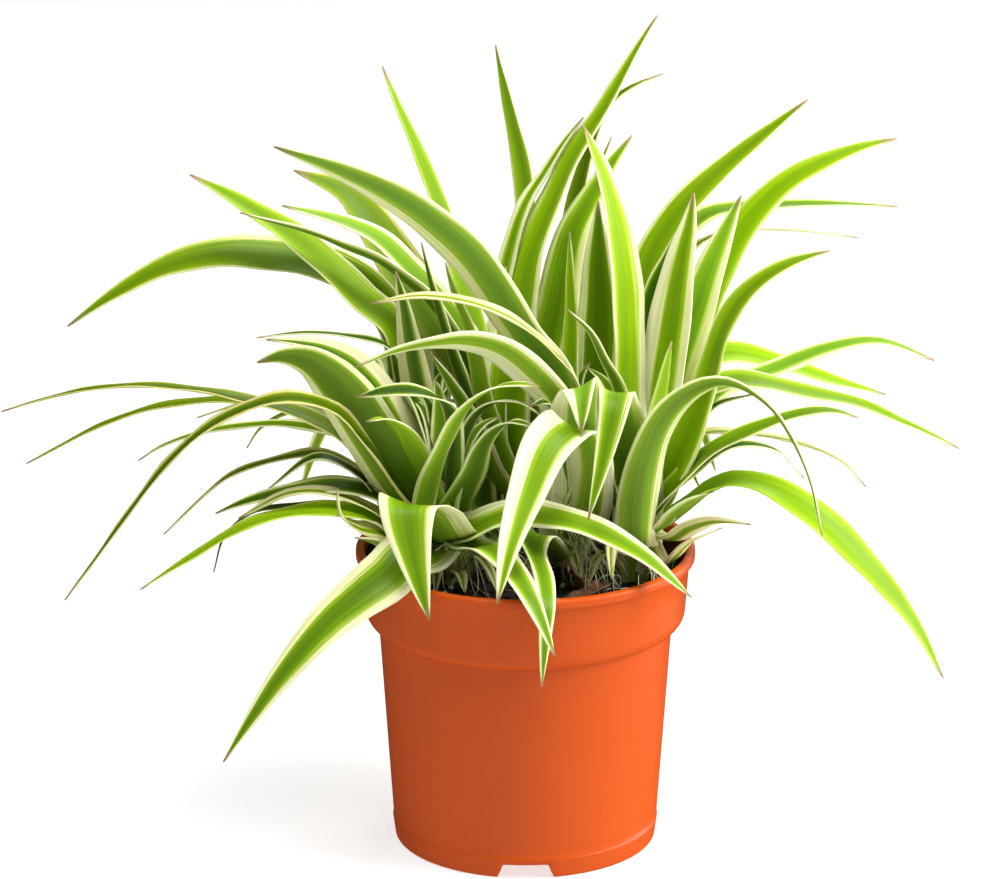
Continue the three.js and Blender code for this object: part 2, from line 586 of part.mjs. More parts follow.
function ringOfCutters(count, makeCutter) {
  const cutters = [];
  for (let index = 0; index < count; index += 1) {
    const geometry = makeCutter();
    geometry.rotateZ((2 * Math.PI * index) / count);
    cutters.push(solidFrom(geometry));
  }
  return cutters;
}

function potGeometry() {
  const floor = baseLift + wall;
  const ringInner = bodyFootRadius - footRingWidth;
  const edge = 1.2; // the small round at the foot and on the lip
  const bandTop = potHeight - lipHeight;
  const profile = [
    [0, 0], [padRadius, 0], [padRadius + 3, baseLift],
    [ringInner - 1, baseLift], [ringInner, 0],
    [bodyFootRadius - edge, 0], [bodyFootRadius, edge],
  ].map(([radius, z]) => new THREE.Vector2(radius, z));
  profile.push(...shoulder(0, 4));
  profile.push(
    new THREE.Vector2(bandTopRadius, bandTop),
    new THREE.Vector2(lipRadius - 0.4, bandTop + 0.5),
    new THREE.Vector2(lipRadius, bandTop + 1.4),
    new THREE.Vector2(lipRadius - 0.2, potHeight - 0.9),
    new THREE.Vector2(lipRadius - 1, potHeight),
    new THREE.Vector2(bandTopRadius - 0.5, potHeight),
    new THREE.Vector2(bandTopRadius - wall, potHeight - 0.8),
    new THREE.Vector2(bandTopRadius - wall, bandTop),
  );
  profile.push(...shoulder(wall, 2).reverse());
  profile.push(
    new THREE.Vector2(bodyRadiusAt(floor) - wall, floor),
    new THREE.Vector2(padRadius + 3 - wall, floor),
    new THREE.Vector2(padRadius - wall, wall),
    new THREE.Vector2(0, wall),
  );
  let pot = solidFrom(turned(profile, potSides));

  const drainRadius = (padRadius + ringInner) / 2 + 1;
  const drains = ringOfCutters(drainHoles, () => {
    const hole = new THREE.CylinderGeometry(drainHoleRadius, drainHoleRadius, floor * 3, 8);
    hole.rotateX(Math.PI / 2);
    hole.translate(drainRadius, 0, floor);
    return hole;
  });
  const foot = ringOfCutters(notches, () => {
    const opening = new THREE.Shape();
    opening.moveTo(-notchWidth / 2 - 1, -1);
    opening.lineTo(notchWidth / 2 + 1, -1);
    opening.lineTo(notchWidth / 2 - 1, baseLift);
    opening.lineTo(-notchWidth / 2 + 1, baseLift);
    opening.closePath();
    const cutter = new THREE.ExtrudeGeometry(opening, { depth: footRingWidth * 4, bevelEnabled: false });
    cutter.rotateX(Math.PI / 2);
    cutter.translate(0, -ringInner + footRingWidth, 0);
    return cutter;
  });
  for (const cutter of [...drains, ...foot]) {
    pot = pot.subtract(cutter);
  }
  return geometryFrom(pot);
}

// The soil's surface: low mounds, flatter where it meets the wall.
function soilTop(x, y) {
  const wave = 0.55 * Math.sin(x / 11 + 1) * Math.cos(y / 9) + 0.4 * Math.sin(x / 5.3) * Math.sin(y / 4.7 + 2);
  return soilHeight + soilMound * wave;
}

function soilSolid() {
  const inset = wall + gap;
  const bottom = baseLift + wall + gap;
  const rimAtSoil = bandRadiusAt(soilHeight) - inset;
  const profile = [new THREE.Vector2(0, bottom), new THREE.Vector2(bodyRadiusAt(bottom) - inset, bottom)];
  profile.push(...shoulder(inset, 2));
  profile.push(new THREE.Vector2(rimAtSoil, soilHeight));
  const surfaceRings = [0.86, 0.64, 0.42, 0.2];
  profile.push(...surfaceRings.map((share) => new THREE.Vector2(rimAtSoil * share, soilHeight)));
  profile.push(new THREE.Vector2(0, soilHeight));
  const geometry = turned(profile, soilSides);
  const places = geometry.attributes.position;
  for (let index = 0; index < places.count; index += 1) {
    const x = places.getX(index);
    const y = places.getY(index);
    const inside = Math.hypot(x, y) < rimAtSoil * 0.95;
    if (places.getZ(index) > soilHeight - 1e-3 && inside) {
      places.setZ(index, soilTop(x, y));
    }
  }
  let soil = solidFrom(geometry);
  for (const { x, y, radius } of Object.values(crowns)) {
    const hole = new THREE.CylinderGeometry(radius + gap, radius + gap, stemSunk * 2, stemSides);
    hole.rotateX(Math.PI / 2);
    hole.translate(x, y, soilHeight);
    soil = soil.subtract(solidFrom(hole));
  }
  return soil;
}

function crownSolid(name) {
  let crown = stemSolid(crowns[name]);
  for (const leaf of seenLeaves.filter((row) => row.crown === name)) {
    crown = crown.add(seenBlade(leaf));
  }
  for (const leaf of hiddenLeaves.filter((row) => row.crown === name)) {
    crown = crown.add(hiddenBlade(leaf));
  }
  return withoutHollows(crown);
}

// A dead leaf base that has come away and lies on the soil between two stems. It is let down from
// above in small steps until it rests.
function driedLeafSolid(soil) {
  const fromAbove = 3;
  const letDown = 0.05;
  const midrib = [[27, -18], [23, -23], [17, -27], [12, -33]].map(([x, y]) => (
    new THREE.Vector3(x, y, soilTop(x, y) + bladeThickness + fromAbove)
  ));
  let leaf = bladeSolid(midrib, 9, [0, 0]);
  while (leaf.minGap(soil, fromAbove * 2) > gap + letDown) {
    leaf = leaf.translate([0, 0, -letDown]);
  }
  return leaf;
}

function plasticMaterial() {
  return new THREE.MeshStandardMaterial({ color: 0xd9572a, roughness: 0.5, metalness: 0 });
}

function soilMaterial() {
  return new THREE.MeshStandardMaterial({ color: 0x1c1412, roughness: 1, metalness: 0 });
}

function leafMaterial() {
  return new THREE.MeshStandardMaterial({ color: 0x6fa51c, roughness: 0.55, metalness: 0 });
}

function driedLeafMaterial() {
  return new THREE.MeshStandardMaterial({ color: 0x5a3a2a, roughness: 0.8, metalness: 0 });
}

function named(name, geometry, material) {
  const mesh = new THREE.Mesh(geometry, material);
  mesh.name = name;
  return mesh;
}

const plant = new THREE.Group();
const soil = soilSolid();
plant.add(named("pot", potGeometry(), plasticMaterial()));
plant.add(named("soil", geometryFrom(soil), soilMaterial()));
for (const name of Object.keys(crowns)) {
  plant.add(named(`crown_${name}`, geometryFrom(crownSolid(name)), leafMaterial()));
}
plant.add(named("dried_leaf", geometryFrom(driedLeafSolid(soil)), driedLeafMaterial()));

export default plant;
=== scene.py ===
# A potted spider plant: striped arching leaves in six crowns, dark compost and an orange nursery pot.
# Sizes below are millimetres unless a note says otherwise; toMetres turns them into Blender's units.
import math
import random

import bmesh
import bpy
from mathutils import Matrix, Vector, noise


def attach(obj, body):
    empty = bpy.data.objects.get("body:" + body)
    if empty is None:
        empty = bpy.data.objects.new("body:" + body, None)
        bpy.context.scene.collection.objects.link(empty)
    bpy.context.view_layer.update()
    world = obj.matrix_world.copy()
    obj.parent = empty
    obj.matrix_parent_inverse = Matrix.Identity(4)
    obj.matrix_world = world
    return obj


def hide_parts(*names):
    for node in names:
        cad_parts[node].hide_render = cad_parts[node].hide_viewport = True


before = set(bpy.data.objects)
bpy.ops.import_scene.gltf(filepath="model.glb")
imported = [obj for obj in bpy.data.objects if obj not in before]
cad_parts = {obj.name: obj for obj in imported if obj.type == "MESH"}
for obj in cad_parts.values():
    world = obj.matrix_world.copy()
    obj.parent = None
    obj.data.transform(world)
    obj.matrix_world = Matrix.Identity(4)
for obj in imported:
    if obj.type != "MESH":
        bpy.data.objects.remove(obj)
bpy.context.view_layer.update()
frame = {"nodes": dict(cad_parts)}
toMetres = 0.001
print("frame loaded:", ", ".join(frame["nodes"]))


def addObject(name, data):
    made = bpy.data.objects.new(name, data)
    bpy.context.collection.objects.link(made)
    return made


# The camera stands where the reference picture was seen from.
picture = {"width": 1000, "middleX": 500, "middleY": 439.5, "focus": 5609}  # pixels
eye = Vector((-9, -1875, 750))
eyeTilt = math.radians(17.82)  # below level
eyeForward = Vector((0, math.cos(eyeTilt), -math.sin(eyeTilt)))
eyeUp = Vector((0, math.sin(eyeTilt), math.cos(eyeTilt)))


def makeCamera():
    data = bpy.data.cameras.new("camera")
    data.sensor_width = 36
    data.lens = data.sensor_width * picture["focus"] / picture["width"]
    data.clip_end = 20
    camera = addObject("camera", data)
    camera.location = eye * toMetres
    camera.rotation_euler = (math.pi / 2 - eyeTilt, 0, 0)
    bpy.context.scene.camera = camera


# A place in the picture and a depth behind the pot's axis, as a place in millimetres.
def placeInPicture(pixelX, pixelY, depth):
    ray = eyeForward.copy()
    ray.x += (pixelX - picture["middleX"]) / picture["focus"]
    ray += eyeUp * (picture["middleY"] - pixelY) / picture["focus"]
    return eye + ray * (depth - eye.y) / ray.y


def linear(hexCode):
    channels = [int(hexCode[place : place + 2], 16) / 255 for place in (1, 3, 5)]
    return tuple(c / 12.92 if c <= 0.04045 else ((c + 0.055) / 1.055) ** 2.4 for c in channels) + (1,)


def smoothStep(value, low, high):
    share = min(1, max(0, (value - low) / (high - low)))
    return share * share * (3 - 2 * share)


def mix(low, high, share):
    return low + (high - low) * share


# Adds a node. A setting goes to the input or property of its name, and a node or a socket is linked.
def addNode(tree, kind, settings):
    node = tree.nodes.new("ShaderNode" + kind)
    for name, value in settings.items():
        if isinstance(value, bpy.types.Node):
            value = next(output for output in value.outputs if output.enabled)
        if isinstance(value, bpy.types.NodeSocket):
            tree.links.new(value, node.inputs[name])
        elif name == "stops":
            while len(node.color_ramp.elements) < len(value):
                node.color_ramp.elements.new(0.5)
            for element, (place, shade) in zip(node.color_ramp.elements, value):
                element.position = place
                element.color = linear(shade)
        elif isinstance(name, int) or name in node.inputs:
            node.inputs[name].default_value = linear(value) if isinstance(value, str) else value
        else:
            setattr(node, name, value)
    return node


def newMaterial(name):
    material = bpy.data.materials.new(name)
    material.use_nodes = True
    material.node_tree.nodes.clear()
    return material, material.node_tree


def finishMaterial(material, shader):
    addNode(material.node_tree, "OutputMaterial", {"Surface": shader})
    return material


# Turns a bmesh that was shaped in millimetres into an object.
def addShape(name, shape, materials=()):
    bmesh.ops.scale(shape, vec=(toMetres,) * 3, verts=shape.verts)
    mesh = bpy.data.meshes.new(name)
    for material in materials:
        mesh.materials.append(material)
    shape.to_mesh(mesh)
    shape.free()
    return addObject(name, mesh)


# A piece of the plant rides on the row's one body.
def addPiece(name, shape, materials, smooth=True):
    piece = addShape(name, shape, materials)
    piece.data.polygons.foreach_set("use_smooth", [smooth] * len(piece.data.polygons))
    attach(piece, "root")
    return piece


# Gives a thin piece its thickness; its last material is the one on its underside.
def thicken(piece, thickness):
    solid = piece.modifiers.new("thickness", "SOLIDIFY")
    solid.thickness = thickness * toMetres
    solid.material_offset = len(piece.data.materials) - 1


# Points all along a smooth path through the given ones (a centripetal spline), and its length so far.
def smoothPath(points, perSpan=14):
    guides = [points[0] * 2 - points[1], *points, points[-1] * 2 - points[-2]]
    path = []
    for index in range(1, len(guides) - 2):
        before, start, end, after = guides[index - 1 : index + 3]
        first, middle, last = [math.sqrt((b - a).length) or 1 for a, b in
                               ((before, start), (start, end), (end, after))]
        leave = (start - before) / first - (end - before) / (first + middle) + (end - start) / middle
        arrive = (end - start) / middle - (after - start) / (middle + last) + (after - end) / last
        leave *= middle
        arrive *= middle
        for step in range(perSpan):
            t = step / perSpan
            path.append(start + leave * t + (end * 3 - start * 3 - leave * 2 - arrive) * t**2
                        + (start * 2 - end * 2 + leave + arrive) * t**3)
    path.append(points[-1].copy())
    lengths = [0]
    for before, here in zip(path, path[1:]):
        lengths.append(lengths[-1] + (here - before).length)
    return path, lengths


# The place and heading at a share of a path's length.
def alongPath(path, lengths, share):
    target = min(max(share, 0), 1) * lengths[-1]
    index = 1
    while index < len(lengths) - 1 and lengths[index] < target:
        index += 1
    span = lengths[index] - lengths[index - 1] or 1
    part = (target - lengths[index - 1]) / span
    place = path[index - 1].lerp(path[index], part)
    low = max(index - 2, 0)
    high = min(index + 1, len(path) - 1)
    return place, (path[high] - path[low]).normalized()


soilHeight = 97

crowns = {
    "left": {"x": -28, "y": -2, "radius": 9, "height": 30},
    "right": {"x": 39, "y": -2, "radius": 8, "height": 32},
    "centre": {"x": 14, "y": 9, "radius": 7.5, "height": 26},
    "leftBack": {"x": -36, "y": 25, "radius": 7.5, "height": 26},
    "back": {"x": -5, "y": 33, "radius": 8.5, "height": 30},
    "rightBack": {"x": 32, "y": 31, "radius": 8, "height": 28},
}

# The leaves that the picture shows, by crown. Each has its real width, the width in pixels that it
# shows (or two, for its inner and outer part, 0 where that isn't matched), its look, its midrib from
# where it leaves the crown, as pixel x, pixel y and depth behind the pot's axis, and its outline if
# not "arching".
seenLeaves = {
    "left": [
        (29, (0, 84), "plain", [(436, 530, -21), (421, 509, -30), (411, 501, -38), (408, 508, -45),
         (409, 530, -49), (414, 557, -52), (422, 592, -56), (429, 620, -58)], "pointed"),
        (14, 30, "bright", [(423, 480, -10), (415, 450, -16), (402, 428, -21), (384, 418, -24),
         (366, 421, -26)]),
        (12, 16, "deep", [(455, 445, -14), (446, 403, -17), (420, 391, -20), (390, 390, -22),
         (356, 397, -23)]),
        (10, (26, 15), "narrow", [(424, 525, -12), (425, 498, -16), (432, 472, -20), (444, 443, -24),
         (458, 417, -26), (474, 399, -28), (498, 386, -29), (520, 383.5, -30), (540, 386, -30)]),
        (14, (35, 26), "narrowDeep", [(474, 471, -15), (483, 445, -19), (498, 427, -22), (514, 421, -24),
         (535, 426, -26)]),
        (9, 11, "deep", [(464, 435, -6), (488, 404, -8), (520, 402, -10), (544, 417, -12)]),
        (14, 27, "plain", [(472, 528, -20), (505, 514, -30), (545, 515, -36), (590, 526, -41),
         (640, 552, -45), (692, 597, -49)], "folded"),
        (13, 28, "plain", [(470, 545, -26), (492, 549, -42), (511, 568, -56), (528, 593, -67),
         (541, 620, -71), (555, 656, -73)], "folded"),
        (8, 7, "deep", [(492, 509, -10), (520, 505, -11)]),
        (21, 56, "narrowDeep", [(398, 476, -10.5), (376, 441, -12.5), (359, 415, -14), (341, 390, -15.5),
         (322, 370, -16.5), (303, 359, -16.5), (280, 356, -16.5), (257, 362, -16.5)], "late"),
        (14, 27, "deepBroad", [(406, 430, 1), (390, 400, 1), (374, 378, 1), (352, 358, 1), (325, 346, 1),
         (298, 341, 1), (266, 339, 1)]),
        (12, (14, 6), "olive", [(408, 515, -1), (368, 465, -2), (342, 436, -2), (312, 418, -2),
         (280, 407, -2), (243, 398, -2), (187, 388, -2), (140, 385, -2), (93, 388, -2), (45, 398, -2),
         (1, 411, -2)]),
        (10, 9, "striped", [(408, 500, -12), (368, 444, -18), (340, 412, -21), (313, 400, -22),
         (284, 397, -23), (248, 406, -23), (210, 425, -23), (173, 456, -23), (136, 502, -23),
         (97, 556, -23), (64, 600, -23)]),
        (9, 7, "striped", [(402, 530, 2), (362, 475, 3), (325, 453, 3), (281, 458, 3), (230, 475, 3),
         (163, 534, 3)]),
        (8, 9, "deep", [(398, 520, -4), (360, 475, -5), (318, 456, -6), (268, 488, -6)]),
        (14, 18, "shade", [(387, 498, -9), (355, 487, -10), (327, 485, -11), (280, 492, -12),
         (243, 502, -12), (215, 513, -12)]),
        (10, 10, "pale", [(412, 545, -9), (378, 512, -14), (335, 493, -17), (290, 492, -18),
         (238, 518, -18)]),
        (12, 11, "bright", [(412, 552, -12), (375, 518, -18), (336, 509, -21), (299, 511, -22),
         (261, 519, -23), (228, 534, -23), (187, 559, -23), (140, 589, -23)]),
        (6, 4, "dried", [(400, 530, -3), (332, 503, -5), (290, 505, -6), (250, 513, -6), (224, 536, -6),
         (213, 572, -6)]),
        (12, 18, "pale", [(412, 556, -14), (384, 533, -23), (358, 527, -27), (341, 514, -28),
         (338, 489, -28)]),
        (14, 26, "plain", [(408, 560, -20), (392, 548, -26), (372, 540, -30), (355, 537, -32)]),
        (19, 51, "plain", [(425, 551, -28), (405, 557, -38), (388, 575, -44), (356, 599, -49),
         (335, 616, -51), (306, 646, -54), (277, 682, -55.5), (253, 716, -56.5),
         (223, 762, -57)], "pointed"),
    ],
    "centre": [
        (17, 39, "light", [(574, 460, 8), (556, 380, 5), (520, 332, 2), (481, 272, 0), (451, 239, -2),
         (401, 201, -3), (341, 171, -4), (274, 146, -4)], "late"),
        (18, 44, "shade", [(581, 460, 12), (595, 390, 17), (599, 318, 20), (598, 262, 22),
         (598, 201, 24)], "late"),
        (10, 18, "bright", [(570, 400, 12), (571, 315, 13), (570, 270, 13), (569, 232, 13)]),
        (8, 7, "pale", [(577, 440, 0), (574, 376, -5), (550, 347, -9), (515, 319, -12), (470, 301, -14),
         (420, 295, -15), (371, 303, -15)]),
        (14, 34, "broadFar", [(572, 470, 0), (560, 410, -8), (535, 378, -14), (500, 350, -19),
         (465, 341, -22), (430, 343, -24), (390, 352, -25), (354, 367, -26)]),
        (20, (0, 50), "light", [(574, 490, -3), (575, 430, -10), (577, 396, -20), (579, 385, -30),
         (580, 399, -37), (581, 434, -40)], "hooked"),
        (9, 13, "deep", [(562, 470, -6), (556, 418, -13), (546, 401, -16), (529, 407, -18)]),
        (19, (0, 56), "broadFar", [(584, 510, -6), (588, 455, -21), (573, 424, -32), (549, 441, -41),
         (525, 497, -52), (508, 550, -62), (497, 604, -69)], "folded"),
        (11, 22, "plain", [(560, 556, -3), (540, 532, -22), (533, 545, -38), (543, 575, -53),
         (547, 604, -63.5), (545, 640, -66), (542, 687, -67)], "folded"),
        (11, 24, "deep", [(580, 490, -6), (584, 445, -10)]),
    ],
    "right": [
        (14, 31, "brightFar", [(630, 390, 7), (629, 330, 8), (627, 290, 9), (620.5, 236, 10),
         (607, 180, 11), (583.5, 125, 11)], "late"),
        (9, 15, "plain", [(634, 470, -4), (618, 385, -6), (605, 360, -7), (590, 331, -8),
         (568, 309, -8)]),
        (18, 43, "broad", [(652, 470, 6), (661, 384, 11), (667, 345, 12), (675, 291, 13), (684, 245, 14),
         (689, 222, 15), (693.5, 193, 16)], "late"),
        (16, (38, 24), "narrow", [(676, 460, -5), (700, 400, -4), (723, 327, -3), (747, 291, -2),
         (786, 264, -1), (830, 250, 0)]),
        (12, 17, "narrow", [(660, 480, 8), (690, 400, 11), (735, 379, 10), (800, 390, 9), (860, 403, 9),
         (910, 424, 9), (960, 448, 9)]),
        (9, 11, "shade", [(668, 500, 8), (692, 440, 11), (712, 407, 12), (755, 393, 12)]),
        (12, 14, "narrow", [(676, 482, -10), (706, 453, -11), (750, 430, -12), (800, 413, -12),
         (832, 410, -12), (858, 417, -12)]),
        (8, 8, "deep", [(695, 470, 3), (735, 445, 3), (775, 449, 3), (805, 478, 3)]),
        (15, (40, 8), "plain", [(636, 540, -17), (638, 505, -20), (645, 466, -22), (654, 436, -23),
         (666, 415, -24), (680, 400, -24.5), (697, 388, -25), (714, 382, -25), (735, 384, -25),
         (769, 405, -27), (791, 436, -28), (810, 478, -30), (823, 536, -31)], "early"),
        (14, (7, 31), "bright", [(668, 518, -8), (690, 502, -10), (704, 491, -12), (718, 484, -13),
         (730, 480, -14), (750, 481, -15), (770, 487, -16), (793, 499, -17), (821, 519, -18),
         (857, 553, -19), (910, 616, -21), (944, 678, -22)], "folded"),
        (11, 16, "pale", [(672, 538, -12), (690, 528, -14), (712, 521, -16), (730, 521, -17),
         (751, 524, -17)]),
        (8, 8, "pale", [(662, 564, -12), (690, 541, -22), (722, 527, -25)]),
        (19, (0, 54), "plain", [(636, 480, -7), (624, 430, -13), (618, 401, -23), (617, 391, -33),
         (614, 408, -40), (604, 455, -45), (588, 520, -50)], "pointed"),
        (11, 22, "bright", [(652, 480, -9), (656, 420, -10), (664, 375, -10), (671, 341, -9)]),
        (8, 10, "deep", [(616, 500, -12), (609, 462, -14)]),
        (9, 12, "deep", [(602, 460, 5)]),
        (6, 9, "pale", [(622, 548, -12), (612, 546, -20), (611, 562, -24), (612, 580, -26)]),
        (8, 14, "light", [(662, 526, -13), (672, 513, -15), (690, 500, -17), (713, 491, -18)]),
    ],
    "leftBack": [
        (16, 34, "narrow", [(404, 395, 36), (394, 325, 40), (362, 282, 42), (312, 260, 43),
         (262, 253, 43), (215, 253, 43), (160, 268, 43), (110, 296, 43), (67, 326, 43)], "late"),
        (15, 29, "narrow", [(408, 400, 28), (396, 328, 30), (364, 298, 31), (322, 258, 32),
         (288, 231, 33), (242, 202, 33), (190, 174, 33)], "late"),
        (7, 5, "deep", [(410, 400, 22), (390, 347, 22), (345, 335, 22), (307, 332, 22), (257, 337, 22)]),
        (13, 35, "deepBroad", [(426, 480, 18), (423, 425, 15), (412, 360, 13), (404, 310, 12),
         (396, 271, 12)]),
        (9, 7, "olive", [(380, 470, 20), (330, 415, 20), (240, 400, 20), (170, 404, 20), (110, 421, 20),
         (26, 463, 20)]),
        (9, 8, "plain", [(390, 490, 16), (350, 440, 13), (290, 424, 12), (215, 429, 12), (165, 444, 12),
         (138, 460, 12)]),
        (9, 9, "olive", [(392, 480, 28), (350, 425, 30), (310, 410, 31), (280, 415, 31), (258, 430, 31),
         (246, 448, 31)]),
        (6, 5, "olive", [(392, 470, 36), (350, 418, 38), (300, 402, 39), (240, 404, 39), (197, 417, 39)]),
    ],
    "back": [
        (10, 12, "shade", [(468, 360, 28), (432, 302, 26), (408, 280, 25), (380, 260, 24), (345, 245, 23),
         (312, 232, 23), (240, 212, 22)]),
        (13, 22, "light", [(470, 340, 34), (440, 300, 36), (412, 268, 37), (380, 238, 38), (345, 221, 38),
         (282, 205, 38)], "late"),
        (19, 46, "faded", [(480, 380, 46), (443, 329, 50), (415, 291, 53), (388, 246, 55), (366, 214, 56),
         (345, 191, 56), (294, 170, 56)], "late"),
        (12, 20, "bright", [(476, 330, 46), (451, 245, 56), (436, 195, 60), (415, 143, 64), (394, 95, 66),
         (383, 66, 67)]),
        (13, 22, "bright", [(523, 300, 54), (525, 190, 66), (514, 130, 72), (503, 82, 76),
         (495, 45, 79)], "late"),
        (9, 17, "broad", [(497, 380, 30), (500, 300, 34), (512, 240, 38), (527, 199, 42), (543, 174, 45),
         (565, 140, 47), (583, 117, 48)], "late"),
        (20, (50, 25), "brightNear", [(508, 400, 24), (515, 330, 26), (526, 262, 30), (541, 223, 34),
         (557, 187, 38), (575, 150, 42), (602, 109, 46), (632, 56, 52), (657, 15, 56)]),
        (17, 46, "plain", [(540, 380, 32), (556, 310, 34), (572, 235, 38), (591, 198, 41), (612, 163, 44),
         (632, 135, 47)]),
        (10, 15, "olive", [(556, 290, 56), (583, 168, 72), (605, 107, 78), (632, 86, 80),
         (663, 73, 82)], "late"),
        (8, 12, "narrow", [(556, 300, 50), (575, 230, 56), (594, 180, 60), (611, 137, 63)]),
        (9, 12, "deep", [(470, 400, 22), (437, 300, 15), (422, 242, 12)]),
        (12, 20, "bright", [(484, 400, 14), (470, 330, 8), (456, 295, 6), (446, 262, 5)]),
        (11, 22, "plain", [(492, 470, 20), (466, 408, 8), (448, 378, 4), (432, 354, 2)]),
        (12, 34, "deep", [(486, 535, 22), (480, 490, 24), (475, 440, 26), (478, 396, 28)]),
    ],
    "rightBack": [
        (16, 39, "light", [(656, 450, 26), (680, 360, 23), (698, 305, 23), (714, 260, 24),
         (741, 195, 26)], "late"),
        (15, 33, "narrow", [(634, 400, 36), (640, 290, 42), (668, 226, 46), (700, 188, 48),
         (745, 149, 50), (808, 99, 51)]),
        (14, 32, "deep", [(640, 420, 30), (645, 350, 33), (655, 290, 34), (668, 258, 34.5),
         (682, 222, 35)]),
        (14, 29, "bright", [(680, 390, 38), (712, 290, 42), (743, 229, 44), (780, 187, 45),
         (820, 163, 45), (860, 147, 45), (897, 138, 45)], "late"),
        (9, 17, "plain", [(645, 330, 52), (668, 255, 60), (705, 214, 66), (750, 206, 69), (830, 203, 70),
         (898, 206, 70)], "late"),
        (7, 8, "pale", [(660, 330, 54), (690, 250, 62), (730, 231, 66), (800, 230, 68), (858, 237, 68)]),
        (13, 24, "bright", [(668, 420, 32), (695, 362, 36), (730, 352, 38), (780, 362, 40),
         (830, 378, 41), (886, 394, 42)]),
        (11, 17, "light", [(680, 450, 26), (720, 392, 26), (780, 367, 27), (830, 348, 27), (880, 341, 27),
         (935, 360, 27)], "late"),
        (7, 5, "pale", [(664, 480, 20), (700, 434, 19), (756, 434, 19), (808, 445, 19), (845, 463, 19),
         (867, 487, 19)]),
    ],
}

# Leaves on the far side and low between the stems, by crown: heading in degrees anticlockwise from
# +X, reach, rise, droop from the top, width.
hiddenLeaves = {
    "centre": [(262, 18, 14, 14, 8), (300, 22, 30, 14, 8), (120, 20, 52, 6, 9)],
    "right": [(40, 30, 26, 18, 9), (275, 14, 20, 14, 7), (250, 18, 18, 16, 7)],
    "leftBack": [(82, 112, 52, 62, 12), (103, 104, 40, 58, 12), (124, 84, 34, 50, 10),
        (94, 70, 66, 22, 10)],
    "back": [(92, 118, 62, 72, 14), (77, 96, 54, 66, 12), (109, 110, 56, 70, 12), (84, 84, 80, 30, 11),
        (100, 86, 38, 56, 11), (64, 66, 40, 44, 9)],
    "rightBack": [(88, 112, 54, 66, 13), (70, 98, 46, 60, 12), (98, 90, 58, 50, 11), (78, 74, 74, 26, 10),
        (52, 62, 38, 42, 10)],
}
hiddenLooks = ("plain", "plain", "broad", "narrow", "shade")  # drawn by chance

# border: where the cream starts, as a share of the half width; lean: how far the green lies off the
# midrib; deep: 0 bright to 1 dark green, partly the leaf's own tone and partly painted shade on
# leaves that sit in shadow; olive: how grey and yellow the green is; blue: a painted bluish sheen.
# What is left out is 0.
leafLooks = {
    "plain": {"border": 0.7, "deep": 0.55, "blue": 0.1},
    "broad": {"border": 0.5, "deep": 0.45},
    "broadFar": {"border": 0.52, "lean": 0.4, "deep": 0.4, "blue": 0.1},
    "narrow": {"border": 0.86, "deep": 0.45, "olive": 0.1},
    "narrowDeep": {"border": 0.82, "deep": 0.75},
    "bright": {"border": 0.92, "deep": 0.05},
    "brightFar": {"border": 0.74, "lean": 0.14, "deep": 0.1},
    "brightNear": {"border": 0.8, "lean": -0.08, "deep": 0.12},
    "light": {"border": 0.64, "lean": 0.2, "deep": 0.3, "blue": 0.6},
    "faded": {"border": 0.8, "lean": 0.2, "deep": 0.3, "olive": 0.8, "blue": 0.4},
    "deep": {"border": 0.78, "deep": 1},
    "deepBroad": {"border": 0.45, "lean": 0.35, "deep": 1, "olive": 0.2},
    "shade": {"border": 0.68, "deep": 0.8},
    "olive": {"border": 0.95, "deep": 0.5, "olive": 0.8},
    "striped": {"border": 0.6, "deep": 0.7, "olive": 0.7},
    "pale": {"border": 0.3, "deep": 0.5, "olive": 0.5},
    "dried": {"border": 1.1, "deep": 1, "olive": 1},
}

# fullest: the share of the length where the blade is widest; curve: 1 for a straight taper to the
# tip, more for one that stays wide.
leafOutlines = {
    "arching": {"fullest": 0.42, "curve": 2},
    "late": {"fullest": 0.62, "curve": 1.7},
    "early": {"fullest": 0.27, "curve": 1.1},
    "folded": {"fullest": 0.5, "curve": 1.5},
    "pointed": {"fullest": 0.44, "curve": 1},
    "hooked": {"fullest": 0.7, "curve": 1.1},
}

blade = {
    "thickness": 0.5,
    "rows": 46,
    "lanes": 10,
    "rootShare": 0.9,
    "claspShare": 0.55,  # a base is narrower where it clasps the stem
    "claspEnd": 0.13,
    "tipShare": 0.015,
    "tipCurve": 0.9,
    "foldAtRoot": 0.85,  # depth of the channel as a share of the half width
    "foldOutside": 0.18,
    "foldEnd": 0.5,
    "foldCurve": 1.4,
    "facedAt": 0.75,  # the share of its length that sets which way a blade faces
    "rollAtRoot": 0.45,  # share of its turn towards the light that a blade has at its root
    "stations": (0.28, 0.66),  # where along its length a blade's turn is matched to the picture
    "mostTwist": 1.3,
    "edgeWave": 0.3,
    "waveLength": 26,
    "waveStart": (0.1, 0.4),
    "variation": {"deep": 0.15, "border": 0.06, "lean": 0.12},  # how far blades of one look differ
}


def taper(along, outline):
    if along < outline["fullest"]:
        clasp = mix(blade["claspShare"], 1, smoothStep(along, 0, blade["claspEnd"]))
        return clasp * mix(blade["rootShare"], 1, smoothStep(along, 0, outline["fullest"]))
    outward = (along - outline["fullest"]) / (1 - outline["fullest"])
    return max(blade["tipShare"], (1 - outward ** outline["curve"]) ** blade["tipCurve"])


# How far a blade turns about its midrib for its width to show as it does in the picture; of the four
# turns that do, the nearest to the one before.
def turnToShow(across, tangent, place, share, before):
    seenAcross = (place - eye).normalized().cross(tangent).normalized()
    level = across.dot(seenAcross)
    tilted = across.cross(tangent).dot(seenAcross)
    most = math.atan2(tilted, level)
    off = math.acos(min(1, share / math.hypot(level, tilted)))
    turns = [most + off, most - off, most + off - math.pi, most - off + math.pi]
    steps = [math.remainder(turn - before, math.tau) for turn in turns]
    return before + min(steps, key=abs)


